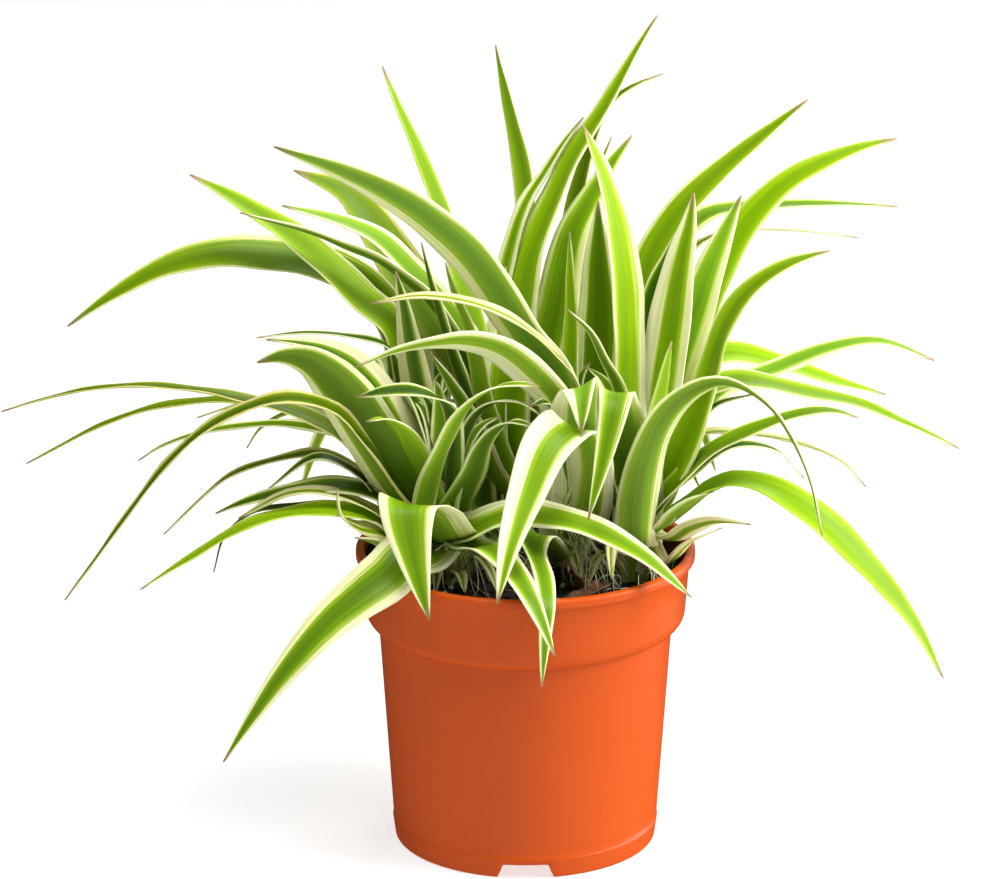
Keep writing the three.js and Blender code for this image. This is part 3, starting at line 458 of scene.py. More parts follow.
# How a leaf leaves its crown, in shares of the crown's radius (out) and height (up).
rooting = {
    "clearOut": 1.35,  # past these two, the leaf's own midrib is followed
    "clearUp": 1.1,
    "levelUp": 1.8,
    "lowOut": 0.6,
    "steepOut": 0.2,
    "rootUp": 0.5,
    "neckOut": 1.6,
    "neckUp": 0.36,
    "footOut": 0.9,
    "footSunk": 3,  # millimetres
    "shortest": 6,  # millimetres of base that still have a bend
    "hiddenUp": 0.6,
}


# A blade starts in the soil, climbs with the clasped bases of its crown and leaves them on the side
# that it grows to.
def rootedPath(crownName, outer):
    crown = crowns[crownName]
    height = crown["height"]
    middle = Vector((crown["x"], crown["y"], 0))
    clear = [point for point in outer
             if (point - middle).to_2d().length > crown["radius"] * rooting["clearOut"]
             or point.z > soilHeight + height * rooting["clearUp"]]
    first = clear[0]
    out = (first - middle).to_2d().to_3d()
    rise = first.z - soilHeight
    steep = min(1, max(0, rise / (out.length + height)))
    level = min(1, max(0, rise / (height * rooting["levelUp"])))
    out = out.normalized() * crown["radius"] * mix(rooting["lowOut"], rooting["steepOut"], steep)
    root = middle + out + Vector((0, 0, soilHeight + height * mix(0, rooting["rootUp"], level)))
    neck = middle + out * rooting["neckOut"] + Vector((0, 0, root.z + height * rooting["neckUp"]))
    foot = middle + out * rooting["footOut"] + Vector((0, 0, soilHeight - rooting["footSunk"]))
    bend = [root] if root.z - foot.z > rooting["shortest"] else []
    return [foot, *bend, neck, *clear]


# Midribs of leaves that the picture doesn't show, in shares of their reach, rise and droop.
hiddenLines = {
    "arching": ((0.28, 0.78, 0), (0.58, 1, 0), (0.82, 1, 0.45), (1, 1, 1)),
    "upright": ((0.12, 0.4, 0), (0.34, 0.72, 0), (0.64, 0.93, 0), (1, 1, 0)),
}


def hiddenPath(crownName, heading, reach, rise, droop):
    crown = crowns[crownName]
    angle = math.radians(heading)
    foot = Vector((crown["x"], crown["y"], soilHeight + crown["height"] * rooting["hiddenUp"]))
    line = hiddenLines["upright" if droop < rise * 0.4 else "arching"]
    outer = [foot + Vector((math.cos(angle) * reach * out, math.sin(angle) * reach * out,
                            rise * up - droop * down)) for out, up, down in line]
    return rootedPath(crownName, outer)


# The places, sideways and upward directions of a blade's rows, from root to tip.
def bladeRows(points, width, shows):
    path, lengths = smoothPath(points)
    outer = alongPath(path, lengths, blade["facedAt"])[0] - points[0]
    across = Vector((outer.y, -outer.x, 0)).normalized()
    turn = 0
    turns = []
    for station, seen in zip(blade["stations"], shows):
        if seen:
            place, tangent = alongPath(path, lengths, station)
            share = seen / width * (place - eye).length / picture["focus"]
            square = (across - tangent * across.dot(tangent)).normalized()
            turn = turnToShow(square, tangent, place, share, turn)
        turns.append(turn)
    innerTurn = turns[0] if shows[0] else turns[1]
    twist = max(-blade["mostTwist"], min(blade["mostTwist"], turns[1] - innerTurn))
    rows = []
    for row in range(blade["rows"] + 1):
        along = row / blade["rows"]
        place, tangent = alongPath(path, lengths, along)
        side = (across - tangent * across.dot(tangent)).normalized()
        roll = innerTurn * mix(blade["rollAtRoot"], 1, smoothStep(along, 0, blade["stations"][0]))
        roll += twist * smoothStep(along, *blade["stations"])
        side = Matrix.Rotation(-roll, 3, tangent) @ side
        rows.append((along, place, side, side.cross(tangent)))
    return rows, lengths[-1]


# An empty shape for blades, with room for their tint and their two maps.
def newLeafShape():
    shape = bmesh.new()
    shape.verts.layers.float_color.new("tint")
    shape.loops.layers.uv.new("blade")
    shape.loops.layers.uv.new("grain")
    return shape


# Writes the two maps: a place across and along the blade, and the same in millimetres for its grain.
def setMaps(shape, faces, spots):
    acrossAndAlong = shape.loops.layers.uv["blade"]
    grain = shape.loops.layers.uv["grain"]
    for face in faces:
        for loop in face.loops:
            loop[acrossAndAlong].uv, loop[grain].uv = spots[loop.vert]


# Shapes a grid into one arched, channelled blade and adds it to the crown's shape.
def addBlade(shape, points, width, lookName, chance, shows=(0, 0), outlineName="arching"):
    look, outline = leafLooks[lookName], leafOutlines[outlineName]
    rows, length = bladeRows(points, width, shows)
    grid = bmesh.ops.create_grid(shape, x_segments=blade["lanes"], y_segments=blade["rows"], size=1)
    tint = shape.verts.layers.float_color["tint"]
    phase = chance.uniform(0, math.tau)
    shift = chance.uniform(0, 400)
    deep, border, skew = [look.get(name, 0) + chance.uniform(-most, most)
                          for name, most in blade["variation"].items()]
    deep = min(1, max(0, deep))
    spots = {}
    for vert in grid["verts"]:
        lane = vert.co.x
        row = round((vert.co.y + 1) / 2 * blade["rows"])
        along, place, side, upper = rows[row]
        half = width / 2 * taper(along, outline)
        fold = half * mix(blade["foldAtRoot"], blade["foldOutside"], smoothStep(along, 0, blade["foldEnd"]))
        lift = fold * (abs(lane) ** blade["foldCurve"] - 0.5)
        wave = blade["edgeWave"] * math.sin(math.tau * along * length / blade["waveLength"] + phase + lane)
        lift += wave * lane**2 * taper(along, outline) * smoothStep(along, *blade["waveStart"])
        vert.co = place + side * half * lane + upper * lift
        vert[tint] = (deep, border, look.get("olive", 0), look.get("blue", 0))
        spots[vert] = (((lane + skew * (1 - lane**2)) / 2 + 0.5, along),
                       (lane * width / 2 + shift, along * length))
    setMaps(shape, {face for vert in grid["verts"] for face in vert.link_faces}, spots)


# The short stem: leaf bases clasped round each other, so its side is ridged.
stem = {
    "sunk": 6,
    "rings": 14,
    "sides": 48,
    "ridges": 5,
    "ridgeDepth": 0.3,
    "ridgeTurn": 1.5,  # how far the ridges wind, in radians
    "footShare": 0.78,  # of the crown's radius
    "topShare": 0.62,
    "heightShare": 0.8,
    # the stem gets the darkest green, partly painted shade where its leaves keep the light off it
    "tint": (1, 1.1, 0.5, 0),
    "bases": 6,  # times that the leaf pattern goes round
    "mapSpan": (0.1, 0.2),
}


def addStem(shape, crown, chance):
    bmesh.ops.create_cone(shape, cap_ends=True, segments=stem["sides"], radius1=1, radius2=1, depth=2)
    upright = [edge for edge in shape.edges if abs(edge.verts[0].co.z - edge.verts[1].co.z) > 1]
    bmesh.ops.subdivide_edges(shape, edges=upright, cuts=stem["rings"])
    tint = shape.verts.layers.float_color["tint"]
    phase = chance.uniform(0, math.tau)
    foot, top = soilHeight - stem["sunk"], soilHeight + crown["height"] * stem["heightShare"]
    spots = {}
    for vert in shape.verts:
        share = vert.co.z / 2 + 0.5
        angle = math.atan2(vert.co.y, vert.co.x)
        ridge = abs(math.sin(stem["ridges"] / 2 * angle + phase + share * stem["ridgeTurn"]))
        radius = crown["radius"] * mix(stem["footShare"], stem["topShare"], share)
        radius *= 1 - stem["ridgeDepth"] * ridge
        vert.co = (crown["x"] + radius * math.cos(angle), crown["y"] + radius * math.sin(angle),
                   mix(foot, top, share))
        vert[tint] = stem["tint"]
        turn = angle / math.tau * stem["bases"] % 1
        spots[vert] = ((turn, mix(*stem["mapSpan"], share)),
                       (turn * crown["radius"], share * crown["height"]))
    setMaps(shape, shape.faces, spots)


# Short young leaves that crowd the inside of a crown, all round but its front.
inner = {
    "count": {"left": 5, "right": 4},
    "otherCount": 11,
    "reach": (8, 30),
    "rise": (30, 62),
    "width": (10, 14),
    "firstHeading": 20,
    "headingStep": 137.5,
    "headings": 150,
    "sway": 12,
    # their darker looks are partly painted shade for the crowded inside of the crown
    "looks": ("plain", "shade", "deep", "deep"),  # drawn by chance
}


def innerLeaves(name, chance):
    leaves = []
    for index in range(inner["count"].get(name, inner["otherCount"])):
        heading = inner["firstHeading"] + index * inner["headingStep"] % inner["headings"]
        heading += chance.uniform(-inner["sway"], inner["sway"])
        reach = chance.uniform(*inner["reach"])
        rise = chance.uniform(*inner["rise"])
        leaves.append((hiddenPath(name, heading, reach, rise, 0), chance.uniform(*inner["width"])))
    return leaves


def makeCrown(name, materials):
    chance = random.Random(f"crown {name}")
    shape = newLeafShape()
    for width, shows, look, midrib, *outline in seenLeaves[name]:
        points = rootedPath(name, [placeInPicture(*point) for point in midrib])
        seen = shows if isinstance(shows, tuple) else (shows, shows)
        addBlade(shape, points, width, look, chance, seen, *outline)
    for heading, reach, rise, droop, width in hiddenLeaves.get(name, ()):
        look = chance.choice(hiddenLooks)
        addBlade(shape, hiddenPath(name, heading, reach, rise, droop), width, look, chance)
    for points, width in innerLeaves(name, chance):
        addBlade(shape, points, width, chance.choice(inner["looks"]), chance)
    leaves = addPiece(f"leaves_{name}", shape, materials)
    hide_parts(f"crown_{name}")
    thicken(leaves, blade["thickness"])
    shape = newLeafShape()
    addStem(shape, crowns[name], chance)
    addPiece(f"stem_{name}", shape, materials[:1])


leafColours = {
    # from the midrib outwards: (share of the half width, colour)
    "bright": ((0, "#86ae06"), (0.42, "#9ac00a"), (0.62, "#b0d22a"), (0.70, "#d4e270"), (0.76, "#f2f3b4"),
               (1, "#faf8cf")),
    # the dark ramp is partly painted shade, for leaves that sit in shadow
    "deep": ((0, "#315202"), (0.42, "#466e03"), (0.62, "#6b910c"), (0.70, "#b0c552"), (0.76, "#eaecaa"),
             (1, "#f6f4c4")),
    "olive": "#d6c49a",
    # the colour of a painted bluish sheen
    "paintedSheen": "#1c5a30",
    "root": "#a9c04a",
    "tip": "#9a7a5c",
    "under": "#a8c060",
}

# What breaks up the border and the green: waves per millimetre across and along the blade, detail,
# roughness, and how far it moves the border. Veins lie about 0.7 mm apart and bands 2 mm apart, and
# the border wanders over 40 mm.
leafGrain = {
    "veins": ((1.5, 0.016, 0), 3, 0.6, 0.34),
    "bands": ((0.5, 0.006, 0), 2, 0.5, 0.5),
    "wander": ((0.12, 0.025, 0), 1, 0.5, 0.22),
}


# Living spider plant leaf: a thin waxy skin over soft green tissue, so it is satin and a little
# translucent. Fine parallel veins run its length, and the margins have no green in them.
def makeLeaf(name, underside):
    material, tree = newMaterial(name)
    bladeMap = addNode(tree, "UVMap", {"uv_map": "blade"})
    grainMap = addNode(tree, "UVMap", {"uv_map": "grain"})
    tint = addNode(tree, "Attribute", {"attribute_name": "tint"})
    deep, border, olive = addNode(tree, "SeparateColor", {"Color": tint}).outputs[:3]
    across, along = addNode(tree, "SeparateXYZ", {"Vector": bladeMap}).outputs[:2]
    centred = addNode(tree, "Math", {"operation": "MULTIPLY_ADD", 0: across, 1: 2, 2: -1})
    outward = addNode(tree, "Math", {"operation": "ABSOLUTE", 0: centred})
    grain = {}
    for kind, (scale, detail, roughness, share) in leafGrain.items():
        place = addNode(tree, "VectorMath", {"operation": "MULTIPLY", 0: grainMap, 1: scale})
        grain[kind] = addNode(tree, "TexNoise", {"Scale": 1, "Detail": detail,
                                                 "Roughness": roughness, "Vector": place})
        outward = addNode(tree, "Math", {"operation": "MULTIPLY_ADD", 0: grain[kind], 1: share,
                                         2: outward})
    fromBorder = addNode(tree, "Math", {"operation": "SUBTRACT", 0: outward, 1: border})
    # 0.70 on the ramps is the border, and the three noises add 0.53 on average
    onRamp = addNode(tree, "Math", {"operation": "ADD", 0: fromBorder, 1: 0.70 - 0.53})
    bright, dark = [addNode(tree, "ValToRGB", {"stops": leafColours[kind], "Fac": onRamp})
                    for kind in ("bright", "deep")]
    # leaves that sit in shadow lean to the dark ramp: partly their own tone, partly painted shade
    shade = addNode(tree, "Mix", {"data_type": "RGBA", 0: deep, 6: bright, 7: dark})
    lines = addNode(tree, "MapRange", {"From Min": 0.3, "From Max": 0.7, "To Min": 0.86,
                                       "To Max": 1.12, "Value": grain["veins"]})
    rooted = addNode(tree, "MapRange", {"From Min": 0, "From Max": 0.13, "To Min": 0.5,
                                        "To Max": 0, "Value": along})
    tipped = addNode(tree, "MapRange", {"From Min": 0.955, "From Max": 0.99, "To Min": 0,
                                        "To Max": 0.9, "Value": along})
    layers = [
        ("MULTIPLY", leafColours["olive"], olive),  # old thin leaves go olive
        ("SCREEN", leafColours["paintedSheen"], tint.outputs["Alpha"]),  # a bluish painted sheen, standing in for the sky mirrored on the wax
        ("MULTIPLY", lines, 1),  # the veins show as paler and darker lines
        ("MIX", leafColours["root"], rooted),  # clasped bases have little green
        ("MIX", leafColours["tip"], tipped),  # tips dry to tan
        ("MIX", leafColours["under"], 0.12 if underside else 0),
    ]
    for blend, layer, share in layers:
        shade = addNode(tree, "Mix", {"data_type": "RGBA", "blend_type": blend, 0: share,
                                      6: shade, 7: layer})
    ribs = addNode(tree, "Bump", {"Strength": 0.35, "Distance": 0.0002, "Height": grain["veins"]})
    skin = addNode(tree, "BsdfPrincipled", {
        "Roughness": 0.5 if underside else 0.4,
        "IOR": 1.42,
        "Specular IOR Level": 0.22,
        "Subsurface Weight": 0.25,
        "Subsurface Radius": (1, 1.1, 0.35),
        "Subsurface Scale": 0.0015,
        "Base Color": shade,
        "Normal": ribs,
    })
    return finishMaterial(material, skin)


# Injection-moulded polypropylene: opaque orange, semi-matt, with a faint grain from the mould.
# the two dark browns are painted shade for the inner wall above the compost
potColours = {"face": "#ce5109", "shade": "#c64b07", "paintedShade": "#6b2a10", "paintedShadeDark": "#1c0d08",
              "roughness": 0.36}


def makePlastic(name, face, shade):
    material, tree = newMaterial(name)
    place = addNode(tree, "TexCoord", {}).outputs["Object"]
    # the colour drifts over 30 mm, and the grain is 0.4 mm across
    cloud = addNode(tree, "TexNoise", {"Scale": 35, "Detail": 3, "Vector": place})
    grain = addNode(tree, "TexNoise", {"Scale": 2500, "Detail": 1, "Vector": place})
    tone = addNode(tree, "Mix", {"data_type": "RGBA", 0: cloud, 6: shade, 7: face})
    rough = addNode(tree, "MapRange", {"To Min": potColours["roughness"] - 0.05,
                                       "To Max": potColours["roughness"] + 0.08,
                                       "Value": grain})
    bump = addNode(tree, "Bump", {"Strength": 0.15, "Distance": 0.0001, "Height": grain})
    plastic = addNode(tree, "BsdfPrincipled", {
        "IOR": 1.49,
        "Specular IOR Level": 0.3,
        "Base Color": tone,
        "Roughness": rough,
        "Normal": bump,
    })
    return finishMaterial(material, plastic)


# Dull natural surfaces. Scale is that of their mottling; bump is its strength and height in metres.
mottled = {
    # near black, crumbly and dull, with paler crumbs 1.5 mm across
    "dampPeatCompost": {
        "stops": ((0.3, "#0b0706"), (0.5, "#1c1310"), (0.64, "#3a2a20"), (0.75, "#5c4632")),
        "scale": 650, "detail": 5, "coarseness": 0.65, "roughness": 0.9, "bump": (0.8, 0.0008),
    },
    # chalky white puffed glass with pits 1 mm apart
    "expandedPerlite": {"stops": ((0.35, "#cfcac0"), (0.65, "#f1eee6")), "scale": 900, "roughness": 0.8},
    # tan husk fibre, flecked every 2.5 mm
    "coirFibre": {"stops": ((0.35, "#4b3826"), (0.65, "#8a6a49")), "scale": 400, "roughness": 0.8},
    # cream and slightly moist, clouded over 3 mm
    "livingRoot": {"stops": ((0.35, "#c9bda4"), (0.65, "#ece6d6")), "scale": 300, "roughness": 0.6},
    # papery brown, with patches 4 mm across
    "driedLeafBase": {"stops": ((0.35, "#4a2c1c"), (0.65, "#8d5f45")), "scale": 250, "roughness": 0.75},
    # pale straw, with greener stretches 5 mm long
    "oldLeafEdge": {"stops": ((0.35, "#8c9660"), (0.65, "#e2e0b8")), "scale": 200, "roughness": 0.6},
}


def makeMottled(name):
    material, tree = newMaterial(name)
    look = {"detail": 4, "coarseness": 0.5, "bump": (0.5, 0.0003), **mottled[name]}
    place = addNode(tree, "TexCoord", {}).outputs["Object"]
    cloud = addNode(tree, "TexNoise", {"Scale": look["scale"], "Detail": look["detail"],
                                       "Roughness": look["coarseness"], "Vector": place})
    shade = addNode(tree, "ValToRGB", {"stops": look["stops"], "Fac": cloud})
    bump = addNode(tree, "Bump", {"Strength": look["bump"][0], "Distance": look["bump"][1],
                                  "Height": cloud})
    body = addNode(tree, "BsdfPrincipled", {"Roughness": look["roughness"],
                                            "Base Color": shade, "Normal": bump})
    return finishMaterial(material, body)


pot = {
    "height": 108,
    "lipRadius": 60,
    "lipHeight": 3.6,
    "bandTopRadius": 58.1,
    "bandFootRadius": 56.7,
    "bandFootHeight": 86,
    "shoulderHeight": 80.5,
    "bodyTopRadius": 52,
    "bodyFootRadius": 46.5,
    "wall": 1.3,
    "footRingWidth": 2.4,
    "padRadius": 20,
    "baseLift": 4,
    "drainHoles": 6,
    "drainHoleRadius": 3.4,
    "drainHoleSides": 32,
    "notches": 3,
    "notchWidth": 20.4,
    "notchHeight": 5.2,
    "notchSlope": 2.4,
    "footLine": 7.5,  # a fine step that the mould leaves round the foot
    "footLineDepth": 0.3,
    # fillets and small steps of the profile
    "padRound": 0.6,
    "padSlope": 3,
    "footRound": 1.2,
    "lipStep": 0.4,
    "lipFootRound": 0.8,
    "lipRound": 1.1,
    "rimRound": 0.9,
    "floorRound": 1.5,
    # the band of inner wall that is painted dark as painted shade
    "paintedShadeFoot": 89,
    "paintedShadeTop": 105,
    "segments": 288,
}


def potRadiusAt(height):
    return mix(pot["bodyFootRadius"], pot["bodyTopRadius"], height / pot["shoulderHeight"])


# A quarter round that joins the body to the wider band.
def shoulderLine(inset, steps):
    inner = potRadiusAt(pot["shoulderHeight"]) - inset
    outer = pot["bandFootRadius"] - inset
    line = []
    for step in range(steps + 1):
        angle = math.pi / 2 * step / steps
        drop = (pot["bandFootHeight"] - pot["shoulderHeight"]) * math.cos(angle)
        line.append((mix(inner, outer, math.sin(angle)), pot["bandFootHeight"] - drop))
    return line


def arcLine(middleRadius, middleHeight, size, start, end, steps=4):
    line = []
    for step in range(steps + 1):
        angle = math.radians(mix(start, end, step / steps))
        line.append((middleRadius + size * math.cos(angle), middleHeight + size * math.sin(angle)))
    return line


# Spins a profile of (radius, height) about the pot's axis; both its ends are on the axis.
def spinProfile(profile, segments):
    shape = bmesh.new()
    verts = [shape.verts.new((radius, 0, height)) for radius, height in profile]
    edges = [shape.edges.new(pair) for pair in zip(verts, verts[1:])]
    bmesh.ops.spin(shape, geom=verts + edges, cent=(0, 0, 0), axis=(0, 0, 1), angle=math.tau,
                   steps=segments, use_merge=True, dvec=(0, 0, 0))
    bmesh.ops.remove_doubles(shape, verts=shape.verts, dist=1e-4)
    bmesh.ops.recalc_face_normals(shape, faces=shape.faces)
    return shape


def potProfile():
    wall, height, base = pot["wall"], pot["height"], pot["baseLift"]
    pad, padRound, floorRound = pot["padRadius"], pot["padRound"], pot["floorRound"]
    footRound, lipFoot, lip, rim = pot["footRound"], pot["lipFootRound"], pot["lipRound"], pot["rimRound"]
    slope = pad + pot["padSlope"]
    floor = base + wall
    ringInner = pot["bodyFootRadius"] - pot["footRingWidth"]
    bandTop = height - pot["lipHeight"]
    top = pot["bandTopRadius"]
    line = pot["footLine"]
    return [
        (0, 0), (pad - padRound, 0), *arcLine(pad - padRound, padRound, padRound, -90, -20, 2),
        (slope, base), (ringInner - 1, base), (ringInner - 0.2, 0.4), (ringInner + 0.3, 0),
        *arcLine(pot["bodyFootRadius"] - footRound, footRound, footRound, -90, 0, 5),
        (potRadiusAt(line) + pot["footLineDepth"], line - 0.35), (potRadiusAt(line), line + 0.1),
        *[(potRadiusAt(level), level) for level in range(10, 80, 5)],
        *shoulderLine(0, 10),
        (mix(pot["bandFootRadius"], top, 0.5), mix(pot["bandFootHeight"], bandTop, 0.5)),
        (top - 0.1, bandTop - 0.6), (top + pot["lipStep"], bandTop),
        *arcLine(pot["lipRadius"] - lipFoot, bandTop + lipFoot, lipFoot, -80, 0, 4),
        *arcLine(pot["lipRadius"] - lip, height - lip, lip, 0, 90, 6),
        *arcLine(top - wall + rim, height - rim, rim, 90, 180, 5),
        (top - wall, bandTop),
        *reversed(shoulderLine(wall, 6)),
        (potRadiusAt(floor + floorRound) - wall, floor + floorRound),
        (potRadiusAt(floor) - wall - floorRound, floor),
        (slope - wall, floor), (pad - wall, wall), (0, wall),
    ]


# Water leaves the foot ring through notches with sloped sides, one of them at the front.
def notchLift(x, y):
    angle = math.atan2(y, x) + math.pi / 2
    between = math.tau / pot["notches"]
    away = abs((angle + between / 2) % between - between / 2) * math.hypot(x, y)
    return pot["notchHeight"] * smoothStep(pot["notchWidth"] / 2 - away, 0, pot["notchSlope"])


def makePot(clean, paintedShade):
    shape = spinProfile(potProfile(), pot["segments"])
    ringInner = pot["bodyFootRadius"] - pot["footRingWidth"]
    for vert in shape.verts:
        radius = vert.co.to_2d().length
        if radius > ringInner - 0.9 and vert.co.z < pot["baseLift"]:
            vert.co.z = max(vert.co.z, notchLift(vert.co.x, vert.co.y))
    piece = addPiece("pot_shell", shape, [clean, paintedShade])
    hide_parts("pot")
    cutDrains(piece)
    # the inner wall above the compost is painted dark brown: painted shade, where the pot's own wall keeps
    # the light off it
    for face in piece.data.polygons:
        height = face.center.z / toMetres
        if face.normal.xy.dot(face.center.xy) < 0 and pot["paintedShadeFoot"] < height < pot["paintedShadeTop"]:
            face.material_index = 1


# The drain holes in the raised ring of the base are cut by a set of short rods.
def cutDrains(piece):
    shape = bmesh.new()
    middle = (pot["padRadius"] + pot["bodyFootRadius"] - pot["footRingWidth"]) / 2 + 1
    for index in range(pot["drainHoles"]):
        angle = math.tau * index / pot["drainHoles"]
        place = Matrix.Translation((middle * math.cos(angle), middle * math.sin(angle), pot["baseLift"]))
        bmesh.ops.create_cone(shape, cap_ends=True, segments=pot["drainHoleSides"], depth=8, matrix=place,
                              radius1=pot["drainHoleRadius"], radius2=pot["drainHoleRadius"])
    rods = addShape("drainRods", shape)
    cut = piece.modifiers.new("drains", "BOOLEAN")
    cut.operation = "DIFFERENCE"
    cut.object = rods
    solved = piece.evaluated_get(bpy.context.evaluated_depsgraph_get())
    finished = bpy.data.meshes.new_from_object(solved)
    piece.modifiers.clear()
    piece.data = finished
    bpy.data.objects.remove(rods)
    finished.polygons.foreach_set("use_smooth", [True] * len(finished.polygons))
    bpy.context.view_layer.objects.active = piece
    piece.select_set(True)
    bpy.ops.object.shade_smooth_by_angle(angle=math.radians(38))
    bpy.ops.object.select_all(action="DESELECT")


soil = {
    "gap": 0.3,
    "mound": 2.2,  # how far the surface rises and dips
    "longWave": (0.55, 11, 9),  # share of that, and its size along x and y
    "shortWave": (0.4, 5.3, 4.7),
    "lumpSize": 4.5,
    "lumpHeight": 0.9,
    "rings": 46,
    "segments": 144,
    "edge": 4,  # width of the level strip along the pot
}


# Low mounds with finer lumps on them.
def soilTop(x, y):
    long, longX, longY = soil["longWave"]
    short, shortX, shortY = soil["shortWave"]
    wave = long * math.sin(x / longX + 1) * math.cos(y / longY)
    wave += short * math.sin(x / shortX) * math.sin(y / shortY + 2)
    grit = noise.fractal(Vector((x, y, 0)) / soil["lumpSize"], 1, 2, 4) * soil["lumpHeight"]
    return soilHeight + soil["mound"] * wave + grit


def soilRimRadius():
    bandTop = pot["height"] - pot["lipHeight"]
    share = (soilHeight - pot["bandFootHeight"]) / (bandTop - pot["bandFootHeight"])
    return mix(pot["bandFootRadius"], pot["bandTopRadius"], share) - pot["wall"] - soil["gap"]


def makeSoil(material):
    inset = pot["wall"] + soil["gap"]
    bottom = pot["baseLift"] + inset
    rim = soilRimRadius()
    fillet = pot["floorRound"]
    profile = [(0, bottom), (potRadiusAt(bottom) - inset - fillet, bottom),
               (potRadiusAt(bottom + fillet) - inset, bottom + fillet), *shoulderLine(inset, 6),
               (rim, soilHeight)]
    profile += [(rim * (1 - ring / soil["rings"]), soilHeight) for ring in range(1, soil["rings"] + 1)]
    shape = spinProfile(profile, soil["segments"])
    for vert in shape.verts:
        radius = vert.co.to_2d().length
        if vert.co.z > soilHeight - 0.01 and radius < rim - 0.1:
            share = smoothStep(rim - radius, 0, soil["edge"])
            vert.co.z = mix(soilHeight, soilTop(vert.co.x, vert.co.y), share)
    piece = addPiece("compost", shape, [material])
    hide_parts("soil")


def scatterPlace(chance, inside=2):
    radius = (soilRimRadius() - inside) * math.sqrt(chance.random())
    angle = chance.uniform(0, math.tau)
    return radius * math.cos(angle), radius * math.sin(angle)


# Loose crumbs: small faceted lumps, most of them half sunk.
lumps = {
    "soil_crumbs": {"material": "dampPeatCompost", "count": 1500, "sizes": (0.5, 1.9), "sunk": 0.25,
                    "seed": "crumbs"},
    "perlite": {"material": "expandedPerlite", "count": 16, "sizes": (1.2, 2.4), "sunk": 0.2,
                "seed": "perlite"},
}


def makeLumps(name, material, count, sizes, sunk, seed):
    chance = random.Random(seed)
    shape = bmesh.new()
    for _ in range(count):
        x, y = scatterPlace(chance)
        size = mix(sizes[0], sizes[1], chance.random() ** 2)
        made = bmesh.ops.create_icosphere(shape, subdivisions=1, radius=size / 2)
        for vert in made["verts"]:
            vert.co *= chance.uniform(0.7, 1.2)
        turn = Matrix.Rotation(chance.uniform(0, math.tau), 4, Vector((1, chance.random(), 0.4)))
        bmesh.ops.transform(shape, matrix=turn, verts=made["verts"])
        lift = soilTop(x, y) + size * (0.5 - sunk)
        bmesh.ops.translate(shape, vec=(x, y, lift), verts=made["verts"])
    addPiece(name, shape, [material], smooth=False)


# Thin fibres and roots: a few bent, tapering, four-sided lengths lying over the crumbs.
fibres = {
    "soil_fibres": {"material": "coirFibre", "count": 150, "lengths": (5, 14), "thickness": 0.35,
                    "seed": "fibres"},
    "pale_roots": {"material": "livingRoot", "count": 22, "lengths": (7, 16), "thickness": 0.6,
                   "seed": "roots"},
}


def makeFibres(name, material, count, lengths, thickness, seed, steps=5):
    chance = random.Random(seed)
    shape = bmesh.new()
    for _ in range(count):
        x, y = scatterPlace(chance, inside=5)
        heading = chance.uniform(0, math.tau)
        length = chance.uniform(*lengths)
        points = []
        for _ in range(steps + 1):
            points.append(Vector((x, y, soilTop(x, y) + chance.uniform(0.1, 0.9))))
            heading += chance.uniform(-0.7, 0.7)
            x += math.cos(heading) * length / steps
            y += math.sin(heading) * length / steps
            if math.hypot(x, y) > soilRimRadius() - 1.5:
                break
        if len(points) > 2:
            addTube(shape, points, [thickness / 2 * mix(1, 0.35, i / steps) for i in range(len(points))])
    addPiece(name, shape, [material])


def addTube(shape, points, radii, sides=4):
    rings = []
    for index, point in enumerate(points):
        ahead = points[min(index + 1, len(points) - 1)] - points[max(index - 1, 0)]
        face = ahead.to_track_quat("Z", "Y").to_matrix().to_4x4()
        made = bmesh.ops.create_circle(shape, segments=sides, radius=radii[index],
                                       matrix=Matrix.Translation(point) @ face)
        rings.append(made["verts"])
    for ring, following in zip(rings, rings[1:]):
        edges = {edge for verts in (ring, following) for vert in verts for edge in vert.link_edges
                 if edge.other_vert(vert) in verts}
        bmesh.ops.bridge_loops(shape, edges=list(edges))
    for ring in (rings[0], rings[-1]):
        bmesh.ops.contextual_create(shape, geom=ring)


# A dead leaf base that lies curled on the compost.
driedLeaf = {
    "path": ((27, -18), (23, -23), (17, -27), (12, -33)),
    "width": 9,
    "thickness": 0.6,
    "lift": 2.2,
    "narrowing": (0.8, 0.25),
    "curl": 0.35,
    "ripple": 0.25,
}


def makeDriedLeaf(material):
    shape = bmesh.new()
    grid = bmesh.ops.create_grid(shape, x_segments=8, y_segments=24, size=1)
    points = [Vector((x, y, soilTop(x, y) + driedLeaf["lift"])) for x, y in driedLeaf["path"]]
    path, lengths = smoothPath(points)
    for vert in grid["verts"]:
        lane, along = vert.co.x, vert.co.y / 2 + 0.5
        place, tangent = alongPath(path, lengths, along)
        side = tangent.cross(Vector((0, 0, 1))).normalized()
        half = driedLeaf["width"] / 2 * mix(*driedLeaf["narrowing"], along**2)
        curl = driedLeaf["curl"] * half * lane**2 + driedLeaf["ripple"] * math.sin(along * 19 + lane * 3)
        vert.co = place + side * half * lane * 0.9 + Vector((0, 0, curl - 0.3))
    piece = addPiece("dried_base", shape, [material])
    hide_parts("dried_leaf")
    thicken(piece, driedLeaf["thickness"])


